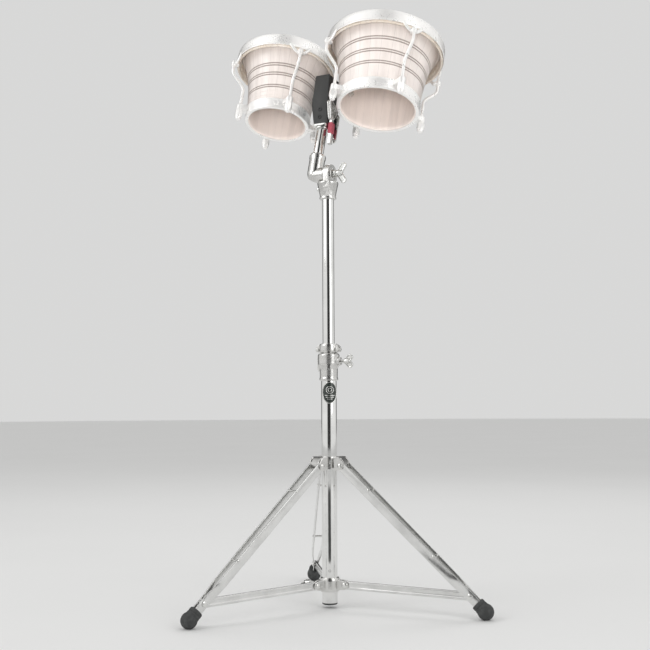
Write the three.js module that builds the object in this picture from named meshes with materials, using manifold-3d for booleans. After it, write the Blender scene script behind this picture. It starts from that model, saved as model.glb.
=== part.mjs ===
/**
 * Pair of bongo drums on a folding tripod stand. Millimetres, +Z up.
 *
 * Origin: on the floor, on the axis of the stand's column.
 * +X runs from the small drum to the large drum, -Y faces the audience, +Y faces the player.
 */
import * as THREE from 'three';
import { mergeVertices } from 'three/addons/utils/BufferGeometryUtils.js';
import Module from 'manifold-3d';

const wasm = await Module();
wasm.setup();

// ---- driving dimensions ---------------------------------------------------

const GAP = 0.3; // clearance between pieces that touch
const TUBE_SIDES = 24;
const DRUM_SIDES = 28;
const PIN_SIDES = 12;

const LOWER_TUBE = { radius: 14.3, bore: 12.8, bottom: 9.3, top: 458 };
const UPPER_TUBE = { radius: 11.1, bore: 9.9, bottom: 300, top: 781 };
const PLUG = { bottom: 6, top: 26 };
const COLLAR = {
  radius: 17, bottom: 250.7, top: 274.6, block: 11.5, cheekIn: 14.5, cheekOut: 16.7, reach: 37,
};
const HUB = { radius: 17.5, bottom: 29.6, top: 54.8, bossAngle: 183, bossEnd: 25 };
const CLAMP = {
  sleeveRadius: 17, sleeveBottom: 414, bodyRadius: 20, bodyBottom: 440, top: 465, bossEnd: 25,
};
const BUSHING = { bore: 11.4, radius: 12.5, bottom: 400, flangeTop: 460.3 };
const STOP = { radius: 17, bottom: 466, top: 483, halfWidth: 24, tabHalf: 5 };
const BADGE = { centre: 392, halfWidth: 12, halfHeight: 20, thickness: 1.6, angle: -63.5 };
const HEIGHT_BOLT_Z = 450;

const LEG_ANGLES = [3, 123, 243];
const LEG = {
  pivot: [28, 258], // r, z of the upper pivot
  foot: [291.7, 13.6], // r, z of the foot ball's centre
  width: 16,
  thickness: 2,
  innerFace: 3, // half the space between the two strips at the foot
  bracePin: 36, // from the ball's centre, up the leg
  stripEnd: 7,
  spread: [[44, 4], [76, 9], [366, 13]], // up the leg, middle of each strip from the leg's plane
  spacerAt: 0.72, // of the way down from the pivot to the brace pin
};
const BRACE = { hubPin: [31, 42], width: 15, thickness: 4 };
const PIN_RADIUS = 3;
const FOOT = { ball: 14.5, sleeve: 12, sleeveEnd: 20, flat: 0 };

const TILT_Z = 804; // height of the tilt axis, which runs along X
const TILT = THREE.MathUtils.degToRad(18);
const EAR = { radius: 18.5, face: -0.7, back: 10 };
const BASE = { bottom: 756, bottomRadius: 14.8, top: 787, topRadius: 20 };
const POST_X = -27.5;
const HEAD = { radius: 15, low: -10, top: 44, socket: 14, boss: -1.4 };
const POST = { radius: 10, top: 104.4 };
const PLATE = { halfWidth: 14.2, front: -15, back: 27, bottom: 104.7, top: 107.7 };
const BLOCK = { left: -48.5, right: -13, bottom: 108, top: 218, seat: 4.8 };
const LEVER = {
  pivot: [-3, 146], // across, up
  inner: -12.5,
  outer: -4,
  hang: [-3.5, 122], // where the arm leaves the head
  lean: 8, // degrees, bottom towards the player
  arm: 54,
  grip: [-32, -8],
};
const STUD = { across: 12, up: 188, collar: 10, shaft: 4 };

const DRUMS = [
  { name: 'large', x: 86.4, rim: 115.7, bottom: 77, bore: 70.2, blockSide: -1, firstRod: 50 },
  { name: 'small', x: -133.3, rim: 101, bottom: 62, bore: 55.5, blockSide: 1, firstRod: 45 },
];
const DRUM_BOTTOM = 129; // height above the tilt axis, along the drums' axes
const SHELL = { bottom: 1.5, top: 146 };
const RIM = { low: 120, ledge: 133.2, top: 146, width: 7.5, ear: [104, 109], earWidth: 17 };
const rodAngles = (drum) => [0, 90, 180, 270].map((step) => drum.firstRod + step);
const ROD = { radius: 3, rimReach: 5.5, ringReach: 17, top: 109.3, low: -16, bendTop: 92, bendLow: 52 };
const RING = { radius: 2.2, height: 20, earLow: 8, earTop: 18, nutLow: -14 };

// ---- finishes -------------------------------------------------------------

const finish = (color, roughness, metalness) =>
  new THREE.MeshStandardMaterial({ color, roughness, metalness });
const CHROME = finish(0xe6e4e0, 0.15, 1);
const CAST = finish(0xd2d2ce, 0.35, 1);
const RUBBER = finish(0x3b3d3d, 0.85, 0);
const RED_GRIP = finish(0x99384a, 0.6, 0);
const NYLON = finish(0xd8d5cc, 0.5, 0);
const BADGE_FACE = finish(0x27302b, 0.4, 0.3);
const SHELL_WOOD = finish(0xd7cbc4, 0.45, 0);
const SKIN = finish(0xe6dccf, 0.7, 0);

// ---- solids ---------------------------------------------------------------

/** Closed three.js geometry to a solid, with its faces pointing out. */
function solid(geometry) {
  const bare = geometry.index ? geometry.toNonIndexed() : geometry.clone();
  bare.deleteAttribute('normal');
  bare.deleteAttribute('uv');
  const merged = mergeVertices(bare, 1e-4);
  const corners = [];
  const index = merged.index.array;
  for (let i = 0; i < index.length; i += 3) {
    const [a, b, c] = [index[i], index[i + 1], index[i + 2]];
    if (a !== b && b !== c && c !== a) corners.push(a, b, c);
  }
  const points = new Float32Array(merged.attributes.position.array);
  if (volume(points, corners) < 0) corners.reverse();
  return new wasm.Manifold(
    new wasm.Mesh({ numProp: 3, vertProperties: points, triVerts: new Uint32Array(corners) }),
  );
}

function volume(points, corners) {
  const [a, b, c] = [new THREE.Vector3(), new THREE.Vector3(), new THREE.Vector3()];
  let sum = 0;
  for (let i = 0; i < corners.length; i += 3) {
    a.fromArray(points, corners[i] * 3);
    b.fromArray(points, corners[i + 1] * 3);
    c.fromArray(points, corners[i + 2] * 3);
    sum += a.dot(b.cross(c)) / 6;
  }
  return sum;
}

/** Solid to a named mesh in a group. A piece has to be one body. */
function piece(name, shape, material, group) {
  if (shape.decompose().length !== 1) throw new Error(`${name} is not one body`);
  const mesh = shape.getMesh();
  const geometry = new THREE.BufferGeometry();
  const positions = new Float32Array((mesh.vertProperties.length / mesh.numProp) * 3);
  for (let i = 0; i < positions.length / 3; i++) {
    for (let k = 0; k < 3; k++) positions[i * 3 + k] = mesh.vertProperties[i * mesh.numProp + k];
  }
  geometry.setAttribute('position', new THREE.BufferAttribute(positions, 3));
  geometry.setIndex(new THREE.BufferAttribute(new Uint32Array(mesh.triVerts), 1));
  const part = new THREE.Mesh(geometry, material);
  part.name = name;
  group.add(part);
}

/** Profile of [radius, height] points, turned about Z. It closes on the axis or on itself. */
function turned(profile, sides = TUBE_SIDES) {
  const [first, last] = [profile[0], profile[profile.length - 1]];
  const closed = first[0] === 0 && last[0] === 0 ? profile : [...profile, first];
  const geometry = new THREE.LatheGeometry(closed.map(([r, z]) => new THREE.Vector2(r, z)), sides);
  return solid(geometry.rotateX(Math.PI / 2));
}

const sleeve = (outer, inner, bottom, top, sides = TUBE_SIDES) =>
  turned([[outer, bottom], [outer, top], [inner, top], [inner, bottom]], sides);

/** Round bar between two points. */
function bar(from, to, radius, sides = PIN_SIDES) {
  const [a, b] = [new THREE.Vector3(...from), new THREE.Vector3(...to)];
  const along = b.clone().sub(a);
  const geometry = new THREE.CylinderGeometry(radius, radius, along.length(), sides);
  const turn = new THREE.Quaternion().setFromUnitVectors(
    new THREE.Vector3(0, 1, 0),
    along.clone().normalize(),
  );
  geometry.applyQuaternion(turn);
  const middle = a.add(b).multiplyScalar(0.5);
  return solid(geometry.translate(middle.x, middle.y, middle.z));
}

const AXES = {
  x: new THREE.Vector3(1, 0, 0),
  y: new THREE.Vector3(0, 1, 0),
  z: new THREE.Vector3(0, 0, 1),
};

/** Outline extruded from low to high along the axis that is normal to it. */
function extruded(shape, normal, low, high, curveSegments = 6) {
  const geometry = new THREE.ExtrudeGeometry(shape, {
    depth: high - low,
    bevelEnabled: false,
    curveSegments,
  });
  geometry.translate(0, 0, low);
  const { x, y, z } = AXES;
  const turn = new THREE.Matrix4();
  if (normal === 'x') turn.makeBasis(y, z, x); // outline in Y, Z
  if (normal === 'y') turn.makeBasis(x, z, y.clone().negate()); // outline in X, Z
  geometry.applyMatrix4(turn);
  if (normal === 'y') geometry.translate(0, low + high, 0);
  return solid(geometry);
}

const polygon = (points) => new THREE.Shape(points.map(([a, b]) => new THREE.Vector2(a, b)));

/** Outline with round ends about two points. */
function capsule([ax, ay], [bx, by], radius) {
  const angle = Math.atan2(by - ay, bx - ax);
  const shape = new THREE.Shape();
  shape.absarc(ax, ay, radius, angle + Math.PI / 2, angle + (3 * Math.PI) / 2);
  shape.absarc(bx, by, radius, angle - Math.PI / 2, angle + Math.PI / 2);
  return shape;
}

function turnedGroup(parent, degrees) {
  const group = new THREE.Group();
  group.rotation.z = THREE.MathUtils.degToRad(degrees);
  parent.add(group);
  return group;
}

const around = (shape, degrees) => shape.rotate([0, 0, degrees]);

/** Wing screw along +X: a shaft from its tip to the hub, and two rounded wings in the XZ plane. */
function wingScrew({ tip, hub, wing, span, shaft, boss, lobe }) {
  const rounded = (side) => capsule([hub + lobe, 0], [wing - lobe, side * (span - lobe)], lobe);
  return bar([tip, 0, 0], [hub + 1, 0, 0], shaft)
    .add(bar([hub, 0, 0], [hub + 2 * lobe, 0, 0], boss))
    .add(extruded(rounded(1), 'y', -2.4, 2.4, 5))
    .add(extruded(rounded(-1), 'y', -2.4, 2.4, 5));
}

// ---- column ---------------------------------------------------------------

const bongos = new THREE.Group();
bongos.name = 'bongos_on_stand';

function addColumn(group) {
  const { radius, bore, bottom, top } = LOWER_TUBE;
  const boltHole = bar([bore - 3, 0, HEIGHT_BOLT_Z], [radius + 3, 0, HEIGHT_BOLT_Z], PIN_RADIUS + 0.5);
  piece('lower_tube', sleeve(radius, bore, bottom, top).subtract(boltHole), CHROME, group);
  const spigot = bore - GAP;
  const plug = turned([
    [0, PLUG.bottom], [radius - 2, PLUG.bottom], [radius, PLUG.bottom + 1.5], [radius, bottom - GAP],
    [spigot, bottom - GAP], [spigot, PLUG.top], [0, PLUG.top],
  ]);
  piece('tube_end_plug', plug, RUBBER, group);
  piece('badge', badge(), BADGE_FACE, group);
}

/** Oval plate, wrapped around the lower tube. */
function badge() {
  const oval = new THREE.Shape();
  oval.absellipse(0, BADGE.centre, BADGE.halfWidth, BADGE.halfHeight, 0, 2 * Math.PI);
  const inner = LOWER_TUBE.radius + GAP;
  const band = sleeve(inner + BADGE.thickness, inner, BADGE.centre - 25, BADGE.centre + 25, 36);
  const facing = extruded(oval, 'x', 2, 20, 12);
  return band.intersect(around(facing, BADGE.angle));
}

function addLegCollar(group) {
  const bore = LOWER_TUBE.radius + GAP;
  const [r, z] = LEG.pivot;
  let collar = turned([
    [COLLAR.radius, COLLAR.bottom], [COLLAR.radius, COLLAR.top - 1], [COLLAR.radius - 1, COLLAR.top],
    [bore, COLLAR.top], [bore, COLLAR.bottom],
  ]);
  const ear = polygon([
    [bore + 1, COLLAR.bottom], [r + 2, z - 8], [r + 7, z - 6], [r + 9, z], [COLLAR.reach, COLLAR.top - 3],
    [COLLAR.reach - 3, COLLAR.top], [bore + 1, COLLAR.top],
  ]);
  const cap = polygon([
    [bore + 1, COLLAR.top - 5], [COLLAR.reach - 1, COLLAR.top - 5], [COLLAR.reach - 3, COLLAR.top],
    [bore + 1, COLLAR.top],
  ]);
  const { block, cheekIn, cheekOut } = COLLAR;
  for (const angle of LEG_ANGLES) {
    const solids = [
      extruded(ear, 'y', -block, block),
      extruded(ear, 'y', cheekIn, cheekOut),
      extruded(ear, 'y', -cheekOut, -cheekIn),
      extruded(cap, 'y', -cheekOut, cheekOut),
      bar([r, cheekOut - 1, z], [r, cheekOut + 1.8, z], PIN_RADIUS + 1.5, 10),
      bar([r, -cheekOut - 1.8, z], [r, 1 - cheekOut, z], PIN_RADIUS + 1.5, 10),
    ];
    for (const part of solids) collar = collar.add(around(part, angle));
  }
  collar = collar.subtract(bar([0, 0, COLLAR.bottom - 1], [0, 0, COLLAR.top + 1], bore, TUBE_SIDES));
  piece('leg_collar', collar, CAST, group);
}

function addHub(group) {
  const bore = LOWER_TUBE.radius + GAP;
  const [r, z] = BRACE.hubPin;
  const inner = BRACE.thickness / 2 + 0.5;
  const outer = inner + 3;
  const lug = polygon([
    [bore + 1, z - 8], [r, z - 8], [r + 5, z - 6], [r + 7.5, z], [r + 5, z + 6], [r, z + 8],
    [bore + 1, z + 8],
  ]);
  let hub = turned([
    [HUB.radius, HUB.bottom], [HUB.radius, HUB.top], [bore, HUB.top], [bore, HUB.bottom],
  ]);
  const boss = bar([bore + 1, 0, z], [HUB.bossEnd, 0, z], 7.5, 16);
  hub = hub.add(around(boss, HUB.bossAngle));
  for (const angle of LEG_ANGLES) {
    for (const [low, high] of [[inner, outer], [-outer, -inner]]) {
      hub = hub.add(around(extruded(lug, 'y', low, high), angle));
    }
    hub = hub.subtract(around(bar([r, -8, z], [r, 8, z], PIN_RADIUS + GAP), angle));
  }
  hub = hub.subtract(bar([0, 0, HUB.bottom - 1], [0, 0, HUB.top + 1], bore, TUBE_SIDES));
  const thread = bar([bore - 2, 0, z], [HUB.bossEnd + 1, 0, z], PIN_RADIUS + GAP);
  piece('base_hub', hub.subtract(around(thread, HUB.bossAngle)), CAST, group);
  LEG_ANGLES.forEach((angle, i) => {
    piece(`hub_pin_${i + 1}`, rivet(r, z, outer), CHROME, turnedGroup(group, angle));
  });
  const screw = wingScrew({
    tip: bore + GAP, hub: 37, wing: 55, span: 13, shaft: PIN_RADIUS, boss: 5, lobe: 5,
  });
  piece('hub_wing_screw', screw.translate([0, 0, z]), CHROME, turnedGroup(group, HUB.bossAngle));
}

/** Rivet along Y at radius r and height z, with a head outside each of two faces. */
function rivet(r, z, face) {
  const head = (low, high) => bar([r, low, z], [r, high, z], PIN_RADIUS + 2);
  return bar([r, -face - 1, z], [r, face + 1, z], PIN_RADIUS)
    .add(head(face + GAP, face + 2))
    .add(head(-face - 2, -face - GAP));
}

// ---- legs -----------------------------------------------------------------

const legUp = new THREE.Vector2(LEG.pivot[0] - LEG.foot[0], LEG.pivot[1] - LEG.foot[1]);
const legLength = legUp.length();
legUp.normalize();
/** Point on the leg's line, at a distance up from the foot ball's centre and a step outwards. */
const onLeg = (up, out = 0) => [
  LEG.foot[0] + legUp.x * up + legUp.y * out,
  LEG.foot[1] + legUp.y * up - legUp.x * out,
];

function addLeg(group, number) {
  const pin = onLeg(LEG.bracePin);
  const faceOut = LEG.innerFace + LEG.thickness;
  const half = LEG.width / 2;
  const pinHole = bar([pin[0], -9, pin[1]], [pin[0], 9, pin[1]], PIN_RADIUS + GAP);

  const outline = capsule(onLeg(LEG.stripEnd + half), LEG.pivot, half);
  const ends = extruded(outline, 'y', -COLLAR.cheekOut, COLLAR.cheekOut);
  for (const [side, name] of [[1, 'left'], [-1, 'right']]) {
    piece(`leg_strip_${name}_${number}`, strip(side).intersect(ends).subtract(pinHole), CHROME, group);
  }

  const spacerUp = LEG.bracePin + (1 - LEG.spacerAt) * (legLength - LEG.bracePin);
  const [sr, sz] = onLeg(spacerUp, half - 2.6);
  const spacerHalf = stripMiddle(spacerUp) - LEG.thickness / 2 - GAP - 0.1;
  piece(`leg_spacer_${number}`, bar([sr, -spacerHalf, sz], [sr, spacerHalf, sz], 2.5), CHROME, group);

  const [hubR, hubZ] = BRACE.hubPin;
  const hubHole = bar([hubR, -9, hubZ], [hubR, 9, hubZ], PIN_RADIUS + GAP);
  const braceOutline = capsule(BRACE.hubPin, pin, BRACE.width / 2);
  const brace = extruded(braceOutline, 'y', -BRACE.thickness / 2, BRACE.thickness / 2)
    .subtract(pinHole)
    .subtract(hubHole);
  piece(`brace_${number}`, brace, CHROME, group);
  piece(`brace_pin_${number}`, rivet(pin[0], pin[1], faceOut), CHROME, group);
  piece(`rubber_foot_${number}`, foot(), RUBBER, group);
}

/** Distance of a strip's middle from the leg's plane, at a distance up from the foot. */
function stripMiddle(up) {
  const bends = [[0, LEG.innerFace + LEG.thickness / 2], ...LEG.spread];
  const i = Math.max(1, bends.findIndex(([at]) => at >= up));
  const [[u0, m0], [u1, m1]] = [bends[i - 1], bends[i]];
  return THREE.MathUtils.mapLinear(up, u0, u1, m0, m1);
}

/** One side strip of a leg: parallel to its twin in the foot, then splayed towards the collar. */
function strip(side) {
  const stations = [0, ...LEG.spread.map(([up]) => up)];
  const edge = (offset) => stations.map((up) => [up, side * (stripMiddle(up) + offset)]);
  const half = LEG.thickness / 2;
  const plan = polygon([...edge(-half), ...edge(half).reverse()]);
  const geometry = new THREE.ExtrudeGeometry(plan, { depth: LEG.width, bevelEnabled: false });
  geometry.translate(0, 0, -LEG.width / 2);
  const along = new THREE.Vector3(legUp.x, 0, legUp.y);
  const turn = new THREE.Matrix4().makeBasis(along, AXES.y, along.clone().cross(AXES.y));
  geometry.applyMatrix4(turn).translate(LEG.foot[0], 0, LEG.foot[1]);
  return solid(geometry);
}

/** Ball foot with a sleeve and a pocket for the two strips, worn flat where it stands. */
function foot() {
  const { ball, sleeve: radius, sleeveEnd } = FOOT;
  const profile = [[0, -ball]];
  for (const degrees of [-60, -30, 0, 34]) {
    const angle = THREE.MathUtils.degToRad(degrees);
    profile.push([ball * Math.cos(angle), ball * Math.sin(angle)]);
  }
  profile.push([radius, sleeveEnd], [0, sleeveEnd]);
  const lean = -THREE.MathUtils.radToDeg(Math.atan2(-legUp.x, legUp.y));
  const [r, z] = LEG.foot;
  const pocket = solid(
    new THREE.BoxGeometry(LEG.width + 2 * GAP, 2 * (LEG.innerFace + LEG.thickness + GAP), 20)
      .translate(0, 0, LEG.stripEnd - GAP + 10),
  );
  const standing = turned(profile, 20)
    .subtract(pocket)
    .rotate([0, lean, 0])
    .translate([r, 0, z]);
  const below = solid(new THREE.BoxGeometry(60, 60, 20).translate(r, 0, FOOT.flat - 10));
  return standing.subtract(below);
}

// ---- height lock and upper tube ------------------------------------------

function addHeightLock(group) {
  const bore = LOWER_TUBE.radius + GAP;
  const bushing = turned([
    [BUSHING.radius, BUSHING.bottom], [BUSHING.radius, LOWER_TUBE.top + GAP],
    [LOWER_TUBE.radius, LOWER_TUBE.top + GAP], [LOWER_TUBE.radius, BUSHING.flangeTop],
    [BUSHING.bore, BUSHING.flangeTop], [BUSHING.bore, BUSHING.bottom],
  ]);
  piece('height_bushing', bushing, NYLON, group);

  const lip = BUSHING.flangeTop + 0.4;
  const casting = turned([
    [CLAMP.sleeveRadius - 0.8, CLAMP.sleeveBottom], [CLAMP.sleeveRadius, CLAMP.sleeveBottom + 1],
    [CLAMP.sleeveRadius, CLAMP.bodyBottom], [CLAMP.bodyRadius, CLAMP.bodyBottom + 3],
    [CLAMP.bodyRadius, CLAMP.top - 2], [CLAMP.bodyRadius - 2, CLAMP.top],
    [BUSHING.bore + 0.2, CLAMP.top], [BUSHING.bore + 0.2, lip], [bore, lip], [bore, CLAMP.sleeveBottom],
  ]);
  const boss = bar([bore + 1, 0, HEIGHT_BOLT_Z], [CLAMP.bossEnd, 0, HEIGHT_BOLT_Z], 8, 16);
  const thread = bar([bore - 2, 0, HEIGHT_BOLT_Z], [CLAMP.bossEnd + 1, 0, HEIGHT_BOLT_Z], PIN_RADIUS + GAP);
  const barrel = sleeve(bore, 2, CLAMP.sleeveBottom, lip);
  piece('height_clamp', casting.add(boss.subtract(barrel)).subtract(thread), CAST, group);

  const bolt = wingScrew({
    tip: BUSHING.radius + 0.5, hub: 32, wing: 50, span: 13, shaft: PIN_RADIUS, boss: 5.5, lobe: 5,
  });
  piece('height_wing_bolt', bolt.translate([0, 0, HEIGHT_BOLT_Z]), CHROME, group);

  const ring = sleeve(STOP.radius, BUSHING.bore, STOP.bottom, STOP.top);
  const tab = polygon([
    [-STOP.halfWidth, STOP.bottom + 2], [STOP.halfWidth, STOP.bottom + 2],
    [STOP.halfWidth, STOP.top - 3], [-STOP.halfWidth, STOP.top - 3],
  ]);
  const tabs = extruded(tab, 'y', -STOP.tabHalf, STOP.tabHalf)
    .subtract(sleeve(STOP.radius - 1, 2, STOP.bottom, STOP.top))
    .subtract(bar([0, 0, STOP.bottom], [0, 0, STOP.top], 5));
  piece('memory_lock', ring.add(tabs), CAST, group);

  const { radius, bore: tubeBore, bottom, top } = UPPER_TUBE;
  piece('upper_tube', sleeve(radius, tubeBore, bottom, top), CHROME, group);
}

// ---- tilter ---------------------------------------------------------------

function addTilterBase(group) {
  const bore = UPPER_TUBE.radius + GAP;
  const cone = turned([
    [BASE.bottomRadius + 0.8, BASE.bottom], [BASE.bottomRadius + 0.8, BASE.bottom + 3],
    [BASE.bottomRadius, BASE.bottom + 4], [BASE.topRadius, BASE.top], [0, BASE.top],
    [0, UPPER_TUBE.top + GAP], [bore, UPPER_TUBE.top + GAP], [bore, BASE.bottom],
  ]);
  const upright = capsule([0, BASE.top - 8], [0, TILT_Z], EAR.radius);
  const ear = extruded(upright, 'x', EAR.face, EAR.back, 10);
  const below = solid(new THREE.BoxGeometry(80, 80, 40).translate(0, 0, BASE.top - 4 - 20));
  const boltHole = bar([-5, 0, TILT_Z], [15, 0, TILT_Z], STUD.shaft + GAP);
  const base = cone.add(ear.subtract(below)).subtract(boltHole);
  piece('tilter_base', base, CAST, group);
  const bolt = wingScrew({ tip: -22, hub: 18, wing: 39, span: 20, shaft: STUD.shaft, boss: 6.5, lobe: 6 });
  const collar = bar([EAR.back + GAP, 0, 0], [18.5, 0, 0], 7.5, 16);
  piece('tilt_wing_bolt', bolt.add(collar).translate([0, 0, TILT_Z]), CHROME, group);
}

/** From here on, z is measured from the tilt axis along the drums' axes. */
function addTilterHead(group) {
  const { radius, low, top, socket } = HEAD;
  const barrel = turned([
    [0, low], [8, low + 1.5], [13, low + 6], [radius, low + 13], [radius, top - 1], [radius - 1, top],
    [POST.radius + GAP, top], [POST.radius + GAP, socket], [0, socket],
  ]).translate([POST_X, 0, 0]);
  const boss = bar([POST_X, 0, 0], [HEAD.boss, 0, 0], radius - 1.5, 20)
    .subtract(bar([POST_X, 0, socket], [POST_X, 0, top], POST.radius + GAP, TUBE_SIDES));
  const thread = bar([-24, 0, 0], [5, 0, 0], STUD.shaft + GAP);
  piece('tilter_head', barrel.add(boss).subtract(thread), CAST, group);
  const post = bar([POST_X, 0, socket + GAP], [POST_X, 0, POST.top], POST.radius, TUBE_SIDES);
  piece('mount_post', post, CHROME, group);
}

// ---- drum mount -----------------------------------------------------------

function addDrumMount(group) {
  const [left, right] = [POST_X - PLATE.halfWidth, POST_X + PLATE.halfWidth];
  const footprint = polygon([
    [left, PLATE.front + 2], [left + 2, PLATE.front], [right - 2, PLATE.front], [right, PLATE.front + 2],
    [right, PLATE.back], [left, PLATE.back],
  ]);
  piece('mount_plate', extruded(footprint, 'z', PLATE.bottom, PLATE.top), CHROME, group);
  piece('center_block', centerBlock(), RUBBER, group);

  const jaw = capsule([LEVER.inner + 5.5, 83], [LEVER.inner + 5.5, 136], 5.5);
  piece('jaw_plate', extruded(jaw, 'y', 13, 16), CHROME, group);
  addLever(group);
  for (const drum of DRUMS) {
    piece(`${drum.name}_drum_stud`, drumStud(drum), CHROME, group);
  }
}

/** Block with a leaning front, a slanted top and a side that bulges towards the small drum. */
function centerBlock() {
  const { left, right, bottom, top, seat } = BLOCK;
  const side = polygon([
    [-13, bottom], [27, bottom], [28, bottom + 4], [27.5, top - 20], [15.5, top], [-29.5, top - 8.5],
  ]);
  const front = polygon([
    [left + 7.5, bottom], [right, bottom], [right, top], [left + 6, top], [left, bottom + 42],
  ]);
  const [m, t] = LEVER.pivot;
  const { across, up, collar, shaft } = STUD;
  return extruded(side, 'x', left - 1, right + 1)
    .intersect(extruded(front, 'y', -40, 40))
    .subtract(bar([right - 16, m, t], [right + 1, m, t], PIN_RADIUS + GAP))
    .subtract(bar([left - 1, across, up], [left + seat, across, up], collar + GAP, 20))
    .subtract(bar([left - 1, across, up], [left + 14, across, up], shaft + GAP))
    .subtract(bar([right - 12, across, up], [right + 1, across, up], shaft + GAP));
}

/** Cam lever: a ribbed head on the pivot pin, and an arm that hangs down beside the block. */
function addLever(group) {
  const [m, t] = LEVER.pivot;
  const { inner, outer, grip, arm } = LEVER;
  const hung = (shape) => shape.rotate([LEVER.lean, 0, 0]).translate([0, ...LEVER.hang]);
  const head = polygon([
    [-24, 149], [-21, 155], [-15, 157], [9, 149.5], [11, 146], [10, 138], [3, 121], [-9.5, 117], [-11, 119],
  ]);
  const blade = polygon([[-4.2, 3], [4.2, 3], [4.2, 2 - arm], [2, -arm], [-2, -arm], [-4.2, 2 - arm]]);
  const pinHole = bar([inner - 1, m, t], [outer + 1, m, t], PIN_RADIUS + GAP);
  const lever = extruded(head, 'x', inner, outer)
    .add(hung(extruded(blade, 'x', inner + 1, outer - 1)))
    .subtract(pinHole);
  piece('cam_lever', lever, CHROME, group);

  const [low, high] = grip;
  const wrap = polygon([
    [-6.2, low + 2], [-4.5, low], [4.5, low], [6.2, low + 2], [6.2, high - 3], [4.5, high], [-4.5, high],
    [-6.2, high - 3],
  ]);
  const slot = 4.2 + GAP;
  const hole = polygon([[-slot, low - 5], [slot, low - 5], [slot, high + 5], [-slot, high + 5]]);
  const sleeveGrip = extruded(wrap, 'x', inner - 0.4, outer + 1.4)
    .subtract(extruded(hole, 'x', inner + 1 - GAP, outer - 1 + GAP));
  piece('lever_grip', hung(sleeveGrip), RED_GRIP, group);

  const pin = bar([inner - 10, m, t], [outer + 1, m, t], PIN_RADIUS)
    .add(bar([outer + GAP, m, t], [outer + 2.5, m, t], PIN_RADIUS + 2.5));
  piece('lever_pin', pin, CHROME, group);
}

/** Stud from the block to a shell: thread in the block, a wide collar, and a head inside the drum. */
function drumStud(drum) {
  const side = drum.blockSide; // +1 when the block is on the drum's +X side
  const { across, up, collar, shaft } = STUD;
  const height = up - DRUM_BOTTOM;
  const at = (radius, reach) => drum.x + side * Math.sqrt(radius ** 2 - reach ** 2);
  const blockFace = side > 0 ? BLOCK.left + BLOCK.seat : BLOCK.right;
  const outside = at(shellRadius(drum, height), 0);
  const inside = at(shellBore(drum, height), across + 8);
  const point = (x) => [x, across, up];
  return bar(point(blockFace - side * GAP), point(outside + side * 2.2), collar, 20)
    .add(bar(point(blockFace + side * 8), point(inside - side * 4), shaft))
    .add(bar(point(inside - side * 1), point(inside - side * 5), 8, 16));
}

// ---- drums ----------------------------------------------------------------

const skinRadius = (drum) => drum.rim - RIM.width;
/** How far the shell has flared, 0 to 1, from its bottom to its bearing edge. */
const flare = (h) => {
  const u = h / SHELL.top;
  return 0.32 * u + 0.68 * u ** 3;
};
const shellRadius = (drum, h) => drum.bottom + (skinRadius(drum) - 1.6 - drum.bottom) * flare(h);
const shellBore = (drum, h) => drum.bore + (skinRadius(drum) - 10.6 - drum.bore) * flare(h);

function addShell(drum, group) {
  const top = skinRadius(drum) - 1.6;
  const levels = [SHELL.bottom, 60, 95, 124];
  const outside = levels.map((h) => [shellRadius(drum, h), h]);
  const inside = [...levels].reverse().map((h) => [shellBore(drum, h), h]);
  const edge = [
    [top, 140], [top - 1.5, 144.5], [top - 5, SHELL.top], [top - 9, 142],
  ];
  const { across, up, shaft } = STUD;
  const reach = drum.blockSide * (skinRadius(drum) + 5);
  const hole = bar([0, across, up - DRUM_BOTTOM], [reach, across, up - DRUM_BOTTOM], shaft + 0.5);
  const shell = turned([...outside, ...edge, ...inside], DRUM_SIDES).subtract(hole);
  piece(`${drum.name}_drum_shell`, shell, SHELL_WOOD, group);
}

function addHead(drum, group) {
  const r = skinRadius(drum);
  const head = turned([
    [0, 148.6], [r - 4.5, 148.6], [r - 1, 147], [r, 143.5], [r, 132.2], [r + 4, 132.2], [r + 4, 126],
    [r - 1.2, 126], [r - 1.2, 142.5], [r - 2.4, 145.8], [r - 4.9, 147.2], [0, 147.2],
  ], DRUM_SIDES);
  piece(`${drum.name}_drum_head`, head, SKIN, group);
}

function addRim(drum, group) {
  const r = skinRadius(drum);
  let rim = turned([
    [r + 0.5, RIM.ledge], [r + 5.4, RIM.ledge], [r + 5.4, RIM.low], [drum.rim, RIM.low],
    [drum.rim, RIM.top - 6], [drum.rim - 2.5, RIM.top - 1], [r + 0.5, RIM.top],
  ], DRUM_SIDES);
  const reach = drum.rim + ROD.rimReach;
  const [low, high] = RIM.ear;
  const half = RIM.earWidth;
  const web = polygon([[-half, RIM.low + 4], [-half + 2, RIM.low], [-6, low], [6, low], [half - 2, RIM.low],
    [half, RIM.low + 4]]);
  const tip = capsule([drum.rim - 1, 0], [reach, 0], 6);
  const clear = bar([0, 0, 90], [0, 0, 130], drum.rim - 2.1, DRUM_SIDES);
  for (const angle of rodAngles(drum)) {
    const ear = extruded(web, 'x', drum.rim - 4, drum.rim - 0.2)
      .add(extruded(tip, 'z', low, high, 4))
      .subtract(clear)
      .subtract(bar([reach, 0, 100], [reach, 0, 120], ROD.radius + 0.6, 8));
    rim = rim.add(around(ear, angle));
  }
  piece(`${drum.name}_drum_rim`, rim, CHROME, group);
}

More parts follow.
